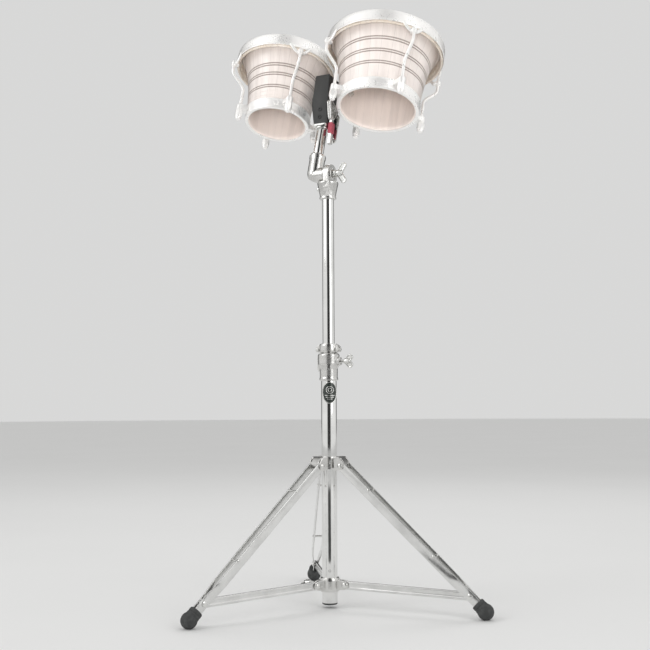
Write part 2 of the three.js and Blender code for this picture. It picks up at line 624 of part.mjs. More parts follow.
function addBottomRing(drum, group) {
  const inner = shellRadius(drum, RING.height) + 1;
  const outer = drum.bottom + RING.radius;
  let ring = turned([
    [drum.bottom - 4, 0], [outer - 0.8, 0], [outer, 1], [inner + 1.8, RING.height], [inner, RING.height],
    [drum.bottom + 0.6, 1.2], [drum.bottom - 4, 1.2],
  ], DRUM_SIDES);
  const reach = drum.bottom + ROD.ringReach;
  const lug = polygon([[drum.bottom, -11], [reach, -6.5], [reach + 5, -4], [reach + 6, 0], [reach + 5, 4],
    [reach, 6.5], [drum.bottom, 11]]);
  const shellSpace = bar([0, 0, 1.2], [0, 0, 30], drum.bottom + 2.5, DRUM_SIDES);
  for (const angle of rodAngles(drum)) {
    const ear = extruded(lug, 'z', RING.earLow, RING.earTop)
      .subtract(shellSpace)
      .subtract(bar([reach, 0, -10], [reach, 0, 30], ROD.radius + 0.6, 8));
    ring = ring.add(around(ear, angle));
  }
  piece(`${drum.name}_drum_bottom_ring`, ring, CHROME, group);
}

/** Centre line of a tuning rod: straight, one smooth step inwards, straight again. */
class RodLine extends THREE.Curve {
  constructor(outer, inner) {
    super();
    this.outer = outer;
    this.inner = inner;
  }

  getPoint(t, target = new THREE.Vector3()) {
    const h = THREE.MathUtils.lerp(ROD.top, ROD.low + 2, t);
    const bent = 1 - THREE.MathUtils.smoothstep(h, ROD.bendLow, ROD.bendTop);
    return target.set(THREE.MathUtils.lerp(this.outer, this.inner, bent), 0, h);
  }
}

function addRods(drum, group) {
  const outer = drum.rim + ROD.rimReach;
  const inner = drum.bottom + ROD.ringReach;
  const section = new THREE.Shape();
  section.absarc(0, 0, ROD.radius, 0, 2 * Math.PI);
  const line = new THREE.ExtrudeGeometry(section, {
    steps: 11,
    curveSegments: 3,
    extrudePath: new RodLine(outer, inner),
  });
  const rod = solid(line)
    .add(bar([outer, 0, ROD.top], [outer, 0, ROD.top + 4], ROD.radius + 2, 8))
    .add(bar([inner, 0, RING.earLow - GAP], [inner, 0, RING.nutLow], ROD.radius + 2.8, 6));
  rodAngles(drum).forEach((angle, i) => {
    piece(`${drum.name}_tuning_rod_${i + 1}`, around(rod, angle), CHROME, group);
  });
}

function addDrum(drum, parent) {
  const group = new THREE.Group();
  group.position.set(drum.x, 0, DRUM_BOTTOM);
  parent.add(group);
  addShell(drum, group);
  addHead(drum, group);
  addRim(drum, group);
  addBottomRing(drum, group);
  addRods(drum, group);
}

// ---- assembly -------------------------------------------------------------

addColumn(bongos);
addLegCollar(bongos);
addHub(bongos);
LEG_ANGLES.forEach((angle, i) => addLeg(turnedGroup(bongos, angle), i + 1));
addHeightLock(bongos);
addTilterBase(bongos);

const tilted = new THREE.Group();
tilted.position.set(0, 0, TILT_Z);
tilted.rotation.x = -TILT;
bongos.add(tilted);
addTilterHead(tilted);
addDrumMount(tilted);
for (const drum of DRUMS) addDrum(drum, tilted);

export default bongos;
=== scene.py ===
import math
from types import SimpleNamespace as Sizes

import bmesh
import bpy
from mathutils import Matrix, Vector


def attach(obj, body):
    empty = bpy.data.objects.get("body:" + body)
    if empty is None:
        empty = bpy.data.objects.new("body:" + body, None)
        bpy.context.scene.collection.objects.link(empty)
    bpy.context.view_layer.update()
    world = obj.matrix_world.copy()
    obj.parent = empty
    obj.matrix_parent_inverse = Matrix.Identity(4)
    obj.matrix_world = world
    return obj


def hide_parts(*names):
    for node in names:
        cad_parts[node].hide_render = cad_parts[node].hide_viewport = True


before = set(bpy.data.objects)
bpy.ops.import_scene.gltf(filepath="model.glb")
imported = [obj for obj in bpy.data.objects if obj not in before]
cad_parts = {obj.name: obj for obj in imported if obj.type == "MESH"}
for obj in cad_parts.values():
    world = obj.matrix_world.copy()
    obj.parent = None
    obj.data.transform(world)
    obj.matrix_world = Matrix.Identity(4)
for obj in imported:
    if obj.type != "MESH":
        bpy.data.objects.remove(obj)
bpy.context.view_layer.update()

# ---- sizes, in millimetres, in the frame's own coordinates ------------------------------

MM = 0.001
SLIDE_FIT = 0.3  # between a tube and what slides or clamps on it
STAVES = 26
X, Y, Z = "X", "Y", "Z"

LOWER_TUBE = Sizes(radius=14.3, bore=12.8, bottom=9.3, top=458)
UPPER_TUBE = Sizes(radius=11.1, bore=9.9, bottom=300, top=781)
COLLAR = Sizes(radius=17, bottom=250.7, top=274.6, block=11.5, cheek=(14.5, 16.7), reach=34)
HUB = Sizes(radius=17.5, bottom=29.6, top=54.8, boss_angle=183, boss_end=25, wing_turn=78)
CLAMP = Sizes(bottom=414, body=440, top=465, bolt=450)
STOP = Sizes(bottom=466, top=483, tab=24)
BADGE = Sizes(height=392, width=14.3, tall=20, angle=-57)
TUBE_HOLE = Sizes(height=68, angle=-63.5)
LEG_ANGLES = (3, 123, 243)
LEG_PIVOT = Vector((28, 0, 258))
LEG_FOOT = Vector((291.7, 0, 13.6))
LEG_SPREAD = ((0, 4), (44, 4), (76, 9), (366, 13))
BRACE_PIN_UP = 36
SPACERS_UP = (126.6, 291)
SPACER_OUT = 5.2
HUB_PIN = Vector((31, 0, 42))
TILT_Z = 804
POST_X = -27.5
PLATE = Sizes(half_width=14.2, front=-15, back=27, bottom=104.7, top=107.7)
BLOCK = Sizes(left=-48.5, right=-13, bottom=108, top=218, seat=4.8)
LEVER = Sizes(pivot=(-3, 146), inner=-12.5, outer=-4, hang=(-3.5, 122), lean=8, arm=54, grip=(-32, -8))
STUD = Sizes(m=12, t=188, collar=10, shaft=4)
DRUM_BOTTOM = 129
CUP_DETAIL_ANGLE = -64
SHELL_TOP = 146
RIM_WIDTH = 7.5
DRUMS = (
    Sizes(name="large", x=86.4, rim=115.7, bottom=77, bore=70.2, side=-1, first_rod=50,
          grooves=(102, 97.5, 78.5, 74, 54.5, 50), rings=()),
    Sizes(name="small", x=-133.3, rim=101, bottom=62, bore=55.5, side=1, first_rod=45,
          grooves=(95, 90.5, 76, 71.5, 50, 45.5), rings=(36, 27)),
)
ROD = Sizes(radius=3, rim=5.5, ring=17, top=109.3, bend=(52, 92))

TILT = 18
TILTED = Matrix.Translation((0, 0, TILT_Z)) @ Matrix.Rotation(math.radians(-TILT), 4, X)


def turn(degrees, axis=Z):
    return Matrix.Rotation(math.radians(degrees), 4, axis)


def shift(x=0, y=0, z=0):
    return Matrix.Translation((x, y, z))


def rod_angles(drum):
    return [drum.first_rod + 90 * i for i in range(4)]


HUNG = TILTED @ shift(0, *LEVER.hang) @ turn(LEVER.lean, X)


# ---- materials --------------------------------------------------------------------------


class Look:
    """A procedural material on the Principled shader."""

    def __init__(self, name, color, roughness, metallic=0.0, **sockets):
        self.material = bpy.data.materials.new(name)
        self.material.use_nodes = True
        self.tree = self.material.node_tree
        self.shader = self.tree.nodes["Principled BSDF"]
        self.set(self.shader, {"Base Color": (*color, 1), "Roughness": roughness, "Metallic": metallic})
        self.set(self.shader, sockets)
        self.place = self.add("ShaderNodeTexCoord").outputs["Object"]
        self.normal = None

    def set(self, node, values):
        for key, value in values.items():
            socket = node.inputs[key]
            if isinstance(value, bpy.types.NodeSocket):
                self.tree.links.new(value, socket)
            else:
                socket.default_value = value

    def add(self, kind, values=None, **settings):
        node = self.tree.nodes.new(kind)
        for key, value in settings.items():
            setattr(node, key, value)
        self.set(node, values or {})
        return node

    def stretched(self, x, y, z, spin=(0, 0, 0)):
        values = {"Vector": self.place, "Scale": (x, y, z), "Rotation": spin}
        return self.add("ShaderNodeMapping", values).outputs["Vector"]

    def noise(self, scale, detail=3, roughness=0.55, vector=None):
        values = {"Vector": vector or self.place, "Scale": scale, "Detail": detail, "Roughness": roughness}
        return self.add("ShaderNodeTexNoise", values).outputs["Fac"]

    def wave(self, scale, distortion, vector, detail=2):
        values = {"Vector": vector, "Scale": scale, "Distortion": distortion, "Detail": detail}
        return self.add("ShaderNodeTexWave", values).outputs["Fac"]

    def cells(self, scale, vector=None):
        node = self.add("ShaderNodeTexVoronoi", {"Vector": vector or self.place, "Scale": scale})
        return node.outputs["Distance"]

    def span(self, value, low, high, out_low=0, out_high=1):
        values = {"Value": value, "From Min": low, "From Max": high, "To Min": out_low, "To Max": out_high}
        return self.add("ShaderNodeMapRange", values).outputs["Result"]

    def edges(self, low=0.505, high=0.56):
        return self.span(self.add("ShaderNodeNewGeometry").outputs["Pointiness"], low, high, 0, 1)

    def math(self, operation, *values):
        node = self.add("ShaderNodeMath", operation=operation)
        for i, value in enumerate(values):
            self.set(node, {i: value})
        return node.outputs[0]

    def times(self, a, b):
        return self.math("MULTIPLY", a, b)

    def staves(self, axis_x, count):
        """Runs from 0 to count once round a drum whose axis stands at axis_x in the tilted frame."""
        level = TILTED.inverted()
        away = level.to_3x3() @ (TILTED.translation * MM)
        values = {"Vector": self.place, "Rotation": level.to_euler(), "Location": (-axis_x, -away.y, -away.z)}
        upright = self.add("ShaderNodeMapping", values).outputs["Vector"]
        parts = self.add("ShaderNodeSeparateXYZ", {"Vector": upright}).outputs
        angle = self.math("ARCTAN2", parts["Y"], parts["X"])
        return self.span(angle, -math.pi, math.pi, 0, count)

    def blend(self, factor, a, b):
        node = self.add("ShaderNodeMix", data_type="RGBA")
        self.tree.links.new(factor, node.inputs[0])
        for socket, value in ((node.inputs[6], a), (node.inputs[7], b)):
            if isinstance(value, bpy.types.NodeSocket):
                self.tree.links.new(value, socket)
            else:
                socket.default_value = (*value, 1)
        return node.outputs[2]

    def color(self, value):
        self.set(self.shader, {"Base Color": value})

    def rough(self, value):
        self.set(self.shader, {"Roughness": value})

    def bump(self, height, strength, distance):
        values = {"Height": height, "Strength": strength, "Distance": distance}
        if self.normal:
            values["Normal"] = self.normal
        self.normal = self.add("ShaderNodeBump", values).outputs["Normal"]
        self.set(self.shader, {"Normal": self.normal})
        return self


def chrome(name, bright, dull, roughness, grain, wavy, metallic=1.0):
    """Plated steel: faint haze and hairline scratches over a slow ripple in the plating."""
    look = Look(name, bright, roughness, metallic)
    haze = look.noise(38, 5)
    hairlines = look.noise(900, 2, vector=look.stretched(1, 1, 0.06))
    specks = look.span(look.cells(420), 0.0, 0.12, 1, 0)
    worn = look.times(specks, look.span(look.noise(60), 0.5, 0.72, 0, 1))
    look.color(look.blend(look.span(haze, 0.35, 0.75, 0, 1), bright, look.blend(worn, dull, (0.3, 0.29, 0.27))))
    look.rough(look.span(look.times(haze, hairlines), 0.12, 0.45, roughness * 0.7, roughness * 1.6))
    look.bump(look.noise(24, 1), wavy, 0.002)
    return look.bump(hairlines, grain, 0.0002)


def cast_chrome():
    """Plated casting: softer than tube, with orange peel, and a painted highlight that brightens its edges."""
    look = Look("cast_chrome", (0.72, 0.72, 0.7), 0.2, 1.0)
    peel = look.noise(420, 3)
    patches = look.noise(55, 4)
    base = look.blend(look.span(patches, 0.35, 0.7, 0, 1), (0.74, 0.735, 0.72), (0.6, 0.595, 0.58))
    # painted highlight: sharp edges found by pointiness are blended towards near-white
    look.color(look.blend(look.edges(), base, (0.93, 0.92, 0.9)))
    look.rough(look.span(patches, 0.3, 0.7, 0.14, 0.3))
    look.bump(patches, 0.12, 0.002)
    return look.bump(peel, 0.22, 0.0004)


def rubber():
    """Moulded rubber, dusty, with a painted highlight that turns its raised edges grey in patches."""
    look = Look("rubber", (0.03, 0.032, 0.032), 0.8)
    dust = look.span(look.noise(130, 5), 0.45, 0.75, 0, 1)
    base = look.blend(dust, (0.035, 0.037, 0.037), (0.085, 0.088, 0.087))
    # painted highlight: sharp edges found by pointiness, broken up by noise, are blended towards a lighter grey
    look.color(look.blend(look.times(look.edges(0.5, 0.6), look.noise(300)), base, (0.13, 0.13, 0.125)))
    look.rough(look.span(dust, 0, 1, 0.62, 0.92))
    return look.bump(look.noise(1400, 2), 0.35, 0.0004)


def block_plastic():
    """Black block: fine leathery moulding grain, and a sheen along its corners that is a painted highlight."""
    look = Look("block_plastic", (0.03, 0.032, 0.032), 0.6)
    grain = look.cells(950)
    scuffs = look.span(look.noise(70, 6, vector=look.stretched(1, 1, 0.3)), 0.52, 0.72, 0, 1)
    base = look.blend(scuffs, (0.012, 0.013, 0.013), (0.026, 0.028, 0.027))
    # painted highlight: sharp corners found by pointiness are blended towards a lighter grey
    look.color(look.blend(look.edges(0.51, 0.6), base, (0.075, 0.075, 0.073)))
    look.rough(look.span(scuffs, 0, 1, 0.48, 0.72))
    look.bump(look.noise(220, 3), 0.1, 0.001)
    return look.bump(grain, 0.3, 0.0004)


def red_rubber():
    look = Look("red_rubber", (0.32, 0.045, 0.07), 0.55)
    mottle = look.noise(160, 4)
    base = look.blend(mottle, (0.27, 0.035, 0.055), (0.38, 0.06, 0.09))
    # painted highlight: sharp edges found by pointiness are blended towards a paler red
    look.color(look.blend(look.edges(0.5, 0.6), base, (0.52, 0.14, 0.17)))
    look.rough(look.span(mottle, 0.3, 0.7, 0.45, 0.7))
    return look.bump(look.cells(1300), 0.3, 0.0003)


def nylon():
    look = Look("nylon", (0.72, 0.69, 0.62), 0.45)
    look.color(look.blend(look.noise(200, 4), (0.76, 0.73, 0.66), (0.6, 0.57, 0.5)))
    return look.bump(look.noise(900, 2), 0.2, 0.0003)


def enamel():
    """Dark green enamel, slightly cloudy, under a clear gloss."""
    look = Look("enamel", (0.018, 0.024, 0.021), 0.25, 0.2)
    look.set(look.shader, {"Coat Weight": 0.6, "Coat Roughness": 0.08})
    cloud = look.noise(260, 4)
    look.color(look.blend(cloud, (0.012, 0.017, 0.014), (0.026, 0.037, 0.031)))
    look.rough(look.span(cloud, 0.3, 0.7, 0.2, 0.42))
    return look.bump(look.noise(700), 0.12, 0.0003)


def shell_wood(name, light, dark, axis_x, joint=0.6):
    """Pale bleached wood under lacquer: upright grain, soft blotches, and staves that differ in tone."""
    look = Look(name, light, 0.32)
    look.set(look.shader, {"Coat Weight": 0.45, "Coat Roughness": 0.12})
    upright = look.stretched(1, 1, 0.08, (math.radians(TILT), 0, 0))
    grain = look.noise(420, 6, 0.65, upright)
    figure = look.wave(22, 9, upright, 3)
    blotch = look.noise(16, 3)
    wood = look.blend(look.span(grain, 0.35, 0.7, 0, 1), light, dark)
    wood = look.blend(look.span(figure, 0.1, 0.95, 0.0, 0.35), wood, tuple(c * 0.86 for c in dark))
    wood = look.blend(look.span(blotch, 0.35, 0.7, 0, 0.55), wood, tuple(min(1, c * 1.05) for c in light))
    stave = look.staves(axis_x * MM, STAVES)
    tone = look.add("ShaderNodeTexWhiteNoise", {"W": look.math("FLOOR", stave)},
        noise_dimensions="1D").outputs["Value"]
    wood = look.blend(look.span(tone, 0, 1, 0, 0.4), wood, tuple(c * 0.88 for c in dark))
    seam = look.span(look.math("PINGPONG", stave, 0.5), 0.0, 0.022, joint, 0)
    look.color(look.blend(seam, wood, tuple(c * 0.55 for c in dark)))
    look.rough(look.span(grain, 0.3, 0.7, 0.24, 0.42))
    look.bump(figure, 0.06, 0.001)
    return look.bump(grain, 0.14, 0.0005)


def skin():
    """Natural skin: cloudy cream with fine pores and a few darker fibres."""
    look = Look("skin", (0.7, 0.64, 0.57), 0.55)
    look.set(look.shader, {"Subsurface Weight": 0.12, "Subsurface Radius": (0.004, 0.003, 0.002)})
    cloud = look.noise(22, 6, 0.62)
    fibres = look.span(look.wave(30, 24, look.stretched(1, 0.6, 1), 5), 0.84, 0.98, 0, 1)
    base = look.blend(look.span(cloud, 0.3, 0.72, 0, 1), (0.76, 0.7, 0.63), (0.6, 0.52, 0.44))
    look.color(look.blend(look.times(fibres, cloud), base, (0.48, 0.39, 0.31)))
    look.rough(look.span(cloud, 0.3, 0.7, 0.45, 0.68))
    look.bump(cloud, 0.15, 0.002)
    return look.bump(look.noise(1500, 2), 0.25, 0.0003)


LOOKS = {
    "chrome_tube": chrome("tube_chrome", (0.86, 0.86, 0.85), (0.74, 0.74, 0.73), 0.07, 0.05, 0.05),
    "chrome_strip": chrome("strip_chrome", (0.8, 0.8, 0.79), (0.66, 0.66, 0.65), 0.15, 0.16, 0.1),
    "chrome_casting": cast_chrome(),
    "chrome_hardware": chrome("bolt_chrome", (0.82, 0.82, 0.8), (0.68, 0.68, 0.66), 0.13, 0.1, 0.08),
    "drum_chrome": chrome("drum_chrome", (0.95, 0.94, 0.925), (0.88, 0.865, 0.85), 0.33, 0.06, 0.06, 0.55),
    "black_rubber": rubber(),
    "black_block": block_plastic(),
    "badge_enamel": enamel(),
    "nylon": nylon(),
    "red_grip": red_rubber(),
    "drum_skin": skin(),
}
# the second pair, for the inside of the shells, is lighter than the first: painted light in the hollow
PALE_WOOD, INSIDE_WOOD_PAINTED_LIGHT = ((0.83, 0.765, 0.73), (0.71, 0.635, 0.595)), ((0.96, 0.855, 0.8), (0.89, 0.785, 0.73))
SHELL_LOOKS = {
    d.name: (
        shell_wood(f"{d.name}_shell_wood", *PALE_WOOD, d.x),
        # darker wood for the grooves: painted shade in the recesses
        shell_wood(f"{d.name}_shell_groove", (0.43, 0.37, 0.335), (0.33, 0.28, 0.25), d.x),
        # lighter wood for the inside: painted light
        shell_wood(f"{d.name}_shell_inside", *INSIDE_WOOD_PAINTED_LIGHT, d.x, 0.35),
    )
    for d in DRUMS
}

# ---- outlines ---------------------------------------------------------------------------


def fillet(points, radius=1.0, steps=4):
    """Outline with round corners. A third number gives a corner its own radius."""
    flat = [(Vector(p[:2]), p[2] if len(p) > 2 else radius) for p in points]
    out = []
    for i, (here, size) in enumerate(flat):
        if size <= 0:
            out.append(here)
            continue
        before, after = flat[i - 1][0] - here, flat[(i + 1) % len(flat)][0] - here
        reach = min(size, before.length * 0.46, after.length * 0.46)
        a, b = here + before.normalized() * reach, here + after.normalized() * reach
        for k in range(steps + 1):
            t = k / steps
            out.append(a * (1 - t) ** 2 + here * (2 * t * (1 - t)) + b * t**2)
    return [(p.x, p.y) for p in out]


def capsule(a, b, radius, steps=14):
    """Outline with round ends about two points."""
    a, b = Vector(a), Vector(b)
    along = b - a
    heading = math.atan2(along.y, along.x)
    out = []
    for centre, first in ((b, heading - math.pi / 2), (a, heading + math.pi / 2)):
        for k in range(steps + 1):
            angle = first + math.pi * k / steps
            out.append((centre.x + radius * math.cos(angle), centre.y + radius * math.sin(angle)))
    return out


# ---- solids -----------------------------------------------------------------------------


def add_turned(bm, profile, at=None, steps=96, flats=None, mark=None):
    """Profile of (radius, height) turned about Z. It closes on the axis or on itself.
    flats cuts six flats at that distance from the axis. mark gives each band's material."""
    at = at or Matrix()
    rings = []
    for radius, height in profile:
        if radius < 1e-6:
            rings.append([bm.verts.new(at @ Vector((0, 0, height)))])
            continue
        ring = []
        for i in range(steps):
            angle = 2 * math.pi * i / steps
            r = radius
            if flats:
                r = min(r, flats / math.cos((angle + math.pi / 6) % (math.pi / 3) - math.pi / 6))
            ring.append(bm.verts.new(at @ Vector((r * math.cos(angle), r * math.sin(angle), height))))
        rings.append(ring)
    on_axis = profile[0][0] < 1e-6 and profile[-1][0] < 1e-6
    for n in range(len(rings) - (1 if on_axis else 0)):
        a, b = rings[n], rings[(n + 1) % len(rings)]
        for i in range(steps):
            j = (i + 1) % steps
            corners = [a[i % len(a)], a[j % len(a)], b[j % len(b)], b[i % len(b)]]
            corners = list(dict.fromkeys(corners))
            if len(corners) > 2:
                face = bm.faces.new(corners)
                if mark:
                    face.material_index = mark(profile[n], profile[(n + 1) % len(profile)])


def add_lathe(bm, points, radius, at=None, steps=96, flats=None):
    """Turned solid whose profile has round corners."""
    add_turned(bm, fillet(points, radius), at, steps, flats)


def add_slab(bm, outline, normal, low, high, at=None, bevel=0.6, segments=2):
    """Outline extruded along the axis normal to it, with rounded rims."""
    at = at or Matrix()
    spread = {X: lambda u, v, w: (w, u, v), Y: lambda u, v, w: (u, w, v), Z: lambda u, v, w: (u, v, w)}[normal]
    lower = [bm.verts.new(at @ Vector(spread(u, v, low))) for u, v in outline]
    upper = [bm.verts.new(at @ Vector(spread(u, v, high))) for u, v in outline]
    faces = [bm.faces.new(lower), bm.faces.new(upper[::-1])]
    count = len(outline)
    for i in range(count):
        j = (i + 1) % count
        faces.append(bm.faces.new((lower[i], upper[i], upper[j], lower[j])))
    if bevel:
        rims = list(dict.fromkeys(edge for face in faces[:2] for edge in face.edges))
        bmesh.ops.bevel(bm, geom=rims, offset=bevel, segments=segments, affect="EDGES", profile=0.6,
            clamp_overlap=True)


def add_sweep(bm, path, section, across, closed=False):
    """Section of (side, up) points, or a function of the station, carried along a path of points.
    across is the direction that the section's first number is measured in."""
    rings = []
    last = len(path) - 1
    for i, point in enumerate(path):
        before = path[i - 1] if i or closed else path[0]
        after = path[(i + 1) % len(path)] if i < last or closed else path[last]
        along = (after - before).normalized()
        side = (across - along * across.dot(along)).normalized()
        up = along.cross(side)
        outline = section(i) if callable(section) else section
        rings.append([bm.verts.new(point + side * u + up * v) for u, v in outline])
    for n in range(len(rings) if closed else last):
        bridge(bm, rings[n], rings[(n + 1) % len(rings)])
    if not closed:
        bm.faces.new(rings[0][::-1])
        bm.faces.new(rings[-1])


def bridge(bm, a, b):
    """Quads between two rings of points."""
    for i in range(len(a)):
        j = (i + 1) % len(a)
        bm.faces.new((a[i], a[j], b[j], b[i]))


def circle(radius, sides=16):
    angles = [2 * math.pi * i / sides for i in range(sides)]
    return [(radius * math.cos(a), radius * math.sin(a)) for a in angles]


def piece(name, bm, body, slot, replaces=(), cast=None, smooth=4, sharp=38, looks=None):
    """Solids to a shown piece. cast fuses them into one casting at that grain, in millimetres."""
    bmesh.ops.recalc_face_normals(bm, faces=bm.faces[:])
    bmesh.ops.transform(bm, matrix=Matrix.Scale(MM, 4), verts=bm.verts[:])
    mesh = bpy.data.meshes.new(name)
    bm.to_mesh(mesh)
    bm.free()
    obj = bpy.data.objects.new(name, mesh)
    bpy.context.scene.collection.objects.link(obj)
    if cast:
        fuse = obj.modifiers.new("fuse", "REMESH")
        fuse.mode = "VOXEL"
        fuse.voxel_size = cast * MM
        soften = obj.modifiers.new("soften", "SMOOTH")
        soften.factor = 0.5
        soften.iterations = smooth
        graph = bpy.context.evaluated_depsgraph_get()
        fused = bpy.data.meshes.new_from_object(obj.evaluated_get(graph))
        obj.modifiers.clear()
        obj.data = fused
        mesh = fused
    for look in looks or (LOOKS[slot],):
        mesh.materials.append(look.material)
    mesh.polygons.foreach_set("use_smooth", [True] * len(mesh.polygons))
    if not cast:
        mesh.set_sharp_from_angle(angle=math.radians(sharp))
    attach(obj, body)
    if replaces:
        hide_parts(*replaces)
    return obj


def tube(radius, bore, low, high, edge=0.5):
    return fillet([(bore, low), (radius, low), (radius, high), (bore, high)], edge)


def dome(radius, base, height):
    """Rivet head profile, from its base up."""
    arc = [(radius * math.cos(a), base + height * (0.25 + 0.75 * math.sin(a)))
        for a in (math.radians(d) for d in range(0, 90, 12))]
    return [(0, base), (radius * 0.96, base), *arc, (0, base + height)]


def add_rivet(bm, x, z, face, shaft, head, at):
    """Rivet along Y at x, z, with a domed head outside each of two faces."""
    for spin in (-90, 90):
        place = at @ shift(x, 0, z) @ turn(spin, X)
        add_turned(bm, dome(head, face, 1.9), place, 32)
    add_turned(bm, [(0, -face - 0.5), (shaft, -face - 0.5), (shaft, face + 0.5), (0, face + 0.5)],
        at @ shift(x, 0, z) @ turn(90, X), 24)


def threaded(radius, low, high, pitch=1.0, depth=0.3):
    """Profile of a threaded shaft."""
    out = [(0, low), (radius - depth, low)]
    turns = int((high - low) / pitch)
    for i in range(turns):
        out += [(radius, low + (i + 0.4) * pitch), (radius - depth, low + (i + 0.9) * pitch)]
    return [*out, (radius - depth, high), (0, high)]


def wing_screw(name, body, node, at, tip, hub, wing, span, shaft, boss, lobe, collar=None):
    """Wing screw along +X: a threaded shaft and a cast head with two rimmed wings in the XZ plane."""
    lengthwise = at @ turn(90, Y)
    bm = bmesh.new()
    add_turned(bm, threaded(shaft, tip, hub + 2), lengthwise, 32)
    if collar:
        add_lathe(bm, [(0, collar[1], 0), (collar[0], collar[1]), (collar[0], collar[2]), (0, collar[2], 0)],
            0.8, lengthwise, 48)
    piece(f"{name}_shaft", bm, body, "chrome_hardware")
    bm = bmesh.new()
    add_lathe(bm, [(0, hub, 0), (boss * 0.86, hub), (boss, hub + lobe * 0.7), (boss * 0.9, hub + 2 * lobe),
        (0, hub + 2.1 * lobe, 0)], 1.6, lengthwise, 40)
    for side in (1, -1):
        a, b = (hub + lobe, 0), (wing - lobe, side * (span - lobe))
        add_slab(bm, capsule(a, b, lobe - 0.6), Y, -1.5, 1.5, at, 0.5)
        ridge = [at @ Vector((u, 0, v)) for u, v in capsule(a, b, lobe - 1.3)]
        add_sweep(bm, ridge, [(u * 2.3, v * 1.3) for u, v in circle(1, 10)], at.to_3x3() @ Vector((0, 1, 0)),
            True)
    piece(name, bm, body, "chrome_hardware", [node], cast=0.42, smooth=4)


# ---- column, collar and hub -------------------------------------------------------------


def build_column():
    bm = bmesh.new()
    t = LOWER_TUBE
    add_turned(bm, tube(t.radius, t.bore, t.bottom, t.top), steps=128)
    piece("lower_tube_steel", bm, "column", "chrome_tube", ["lower_tube"])

    bm = bmesh.new()
    add_lathe(bm, [(0, 7.2, 0), (8, 7.2), (9, 6), (12.3, 6), (14.3, 7.5), (14.3, 9), (12.5, 9.1), (12.5, 14),
        (12.1, 15), (12.5, 16), (12.5, 26), (0, 26, 0)], 0.7, steps=64)
    piece("tube_end_plug_rubber", bm, "column", "black_rubber", ["tube_end_plug"])
    build_badge()


def build_badge():
    """Oval plate wrapped on the tube, with a bright rim and a plain raised emblem."""
    face = LOWER_TUBE.radius + 0.35
    heading = math.radians(BADGE.angle)

    def wrapped(u, v, lift):
        angle = heading + u / face
        r = face + lift
        return Vector((r * math.cos(angle), r * math.sin(angle), BADGE.height + v))

    bm = bmesh.new()
    steps = 72
    levels = [(0.96, 0.0), (0.96, 1.0), (0.93, 1.15), (0.6, 1.15), (0.3, 1.2), (0.02, 1.2)]
    rings = []
    for size, lift in levels:
        ring = []
        for i in range(steps):
            a = 2 * math.pi * i / steps
            ring.append(bm.verts.new(wrapped(size * BADGE.width * math.cos(a), size * BADGE.tall * math.sin(a),
                lift)))
        rings.append(ring)
    for a, b in zip(rings, rings[1:]):
        bridge(bm, a, b)
    bm.faces.new(rings[0])
    bm.faces.new(rings[-1][::-1])
    piece("badge_plate", bm, "column", "badge_enamel", ["badge"])

    bm = bmesh.new()
    angles = [2 * math.pi * i / steps for i in range(steps)]
    outward = Vector((math.cos(heading), math.sin(heading), 0))
    add_sweep(bm, [wrapped((BADGE.width - 0.8) * math.cos(a), (BADGE.tall - 0.8) * math.sin(a),
        1.0) for a in angles], [(u * 1.2, v * 1.1) for u, v in circle(1, 12)], outward, True)
    for size in (6.4, 3.2):
        add_sweep(bm, [wrapped(size * math.cos(a), 5 + size * math.sin(a), 1.2) for a in angles],
            circle(0.85, 10), outward, True)
    for height, reach in ((-5, 8.5), (-8.4, 6.8), (-11.8, 4.4)):
        line = [wrapped(reach * (k / 8 - 1), height, 1.2) for k in range(17)]
        add_sweep(bm, line, circle(0.85, 10), outward)
    piece("badge_rim", bm, "column", "chrome_hardware")

    bm = bmesh.new()
    place = turn(TUBE_HOLE.angle) @ shift(0, 0, TUBE_HOLE.height) @ turn(90, Y)
    wall = LOWER_TUBE.radius
    add_lathe(bm, [(0, wall - 1.4, 0), (2.3, wall - 1.4), (2.3, wall + 0.1), (1.7, wall + 0.1),
        (1.7, wall - 0.8), (0, wall - 0.8, 0)], 0.2, place, 28)
    piece("tube_hole_grommet", bm, "column", "black_rubber")


def build_collar():
    bm = bmesh.new()
    c = COLLAR
    bore = LOWER_TUBE.radius + SLIDE_FIT
    add_lathe(bm, [(bore, c.bottom), (c.radius, c.bottom), (c.radius + 0.8, c.bottom + 3),
        (c.radius + 0.4, c.top - 4), (c.radius - 0.6, c.top), (bore, c.top)], 0.8)
    r, z = LEG_PIVOT.x, LEG_PIVOT.z
    ear = fillet([(bore + 1, c.bottom), (r - 2, z - 8), (r + 4, z - 6.5), (c.reach, z - 1), (c.reach, z + 5),
        (c.reach - 4, z + 12, 5), (c.reach - 8, c.top), (bore + 1, c.top)], 3)
    cap = fillet([(bore + 1, c.top - 4.6), (c.reach - 5.5, c.top - 4.6), (c.reach - 8, c.top),
        (bore + 1, c.top)], 1)
    inner, outer = c.cheek
    for angle in LEG_ANGLES:
        at = turn(angle)
        for low, high in ((-c.block, c.block), (inner, outer), (-outer, -inner)):
            add_slab(bm, ear, Y, low, high, at, 0.7)
        add_slab(bm, cap, Y, -outer, outer, at, 1.2)
    piece("leg_collar_casting", bm, "column", "chrome_casting", ["leg_collar"], cast=0.55, smooth=3)

    bm = bmesh.new()
    for angle in LEG_ANGLES:
        for spin in (-90, 90):
            add_turned(bm, dome(4.6, outer - 0.4, 2.3), turn(angle) @ shift(r, 0, z) @ turn(spin, X), 32)
        add_turned(bm, [(0, -1), (2.6, -1), (2.6, 0.5), (2.1, 0.9), (1.5, 0.9), (1.5, -0.4), (0, -0.4)],
            turn(angle + 60) @ shift(c.radius + 0.2, 0, z + 6) @ turn(90, Y), 24)
    piece("leg_collar_rivets", bm, "column", "chrome_hardware")


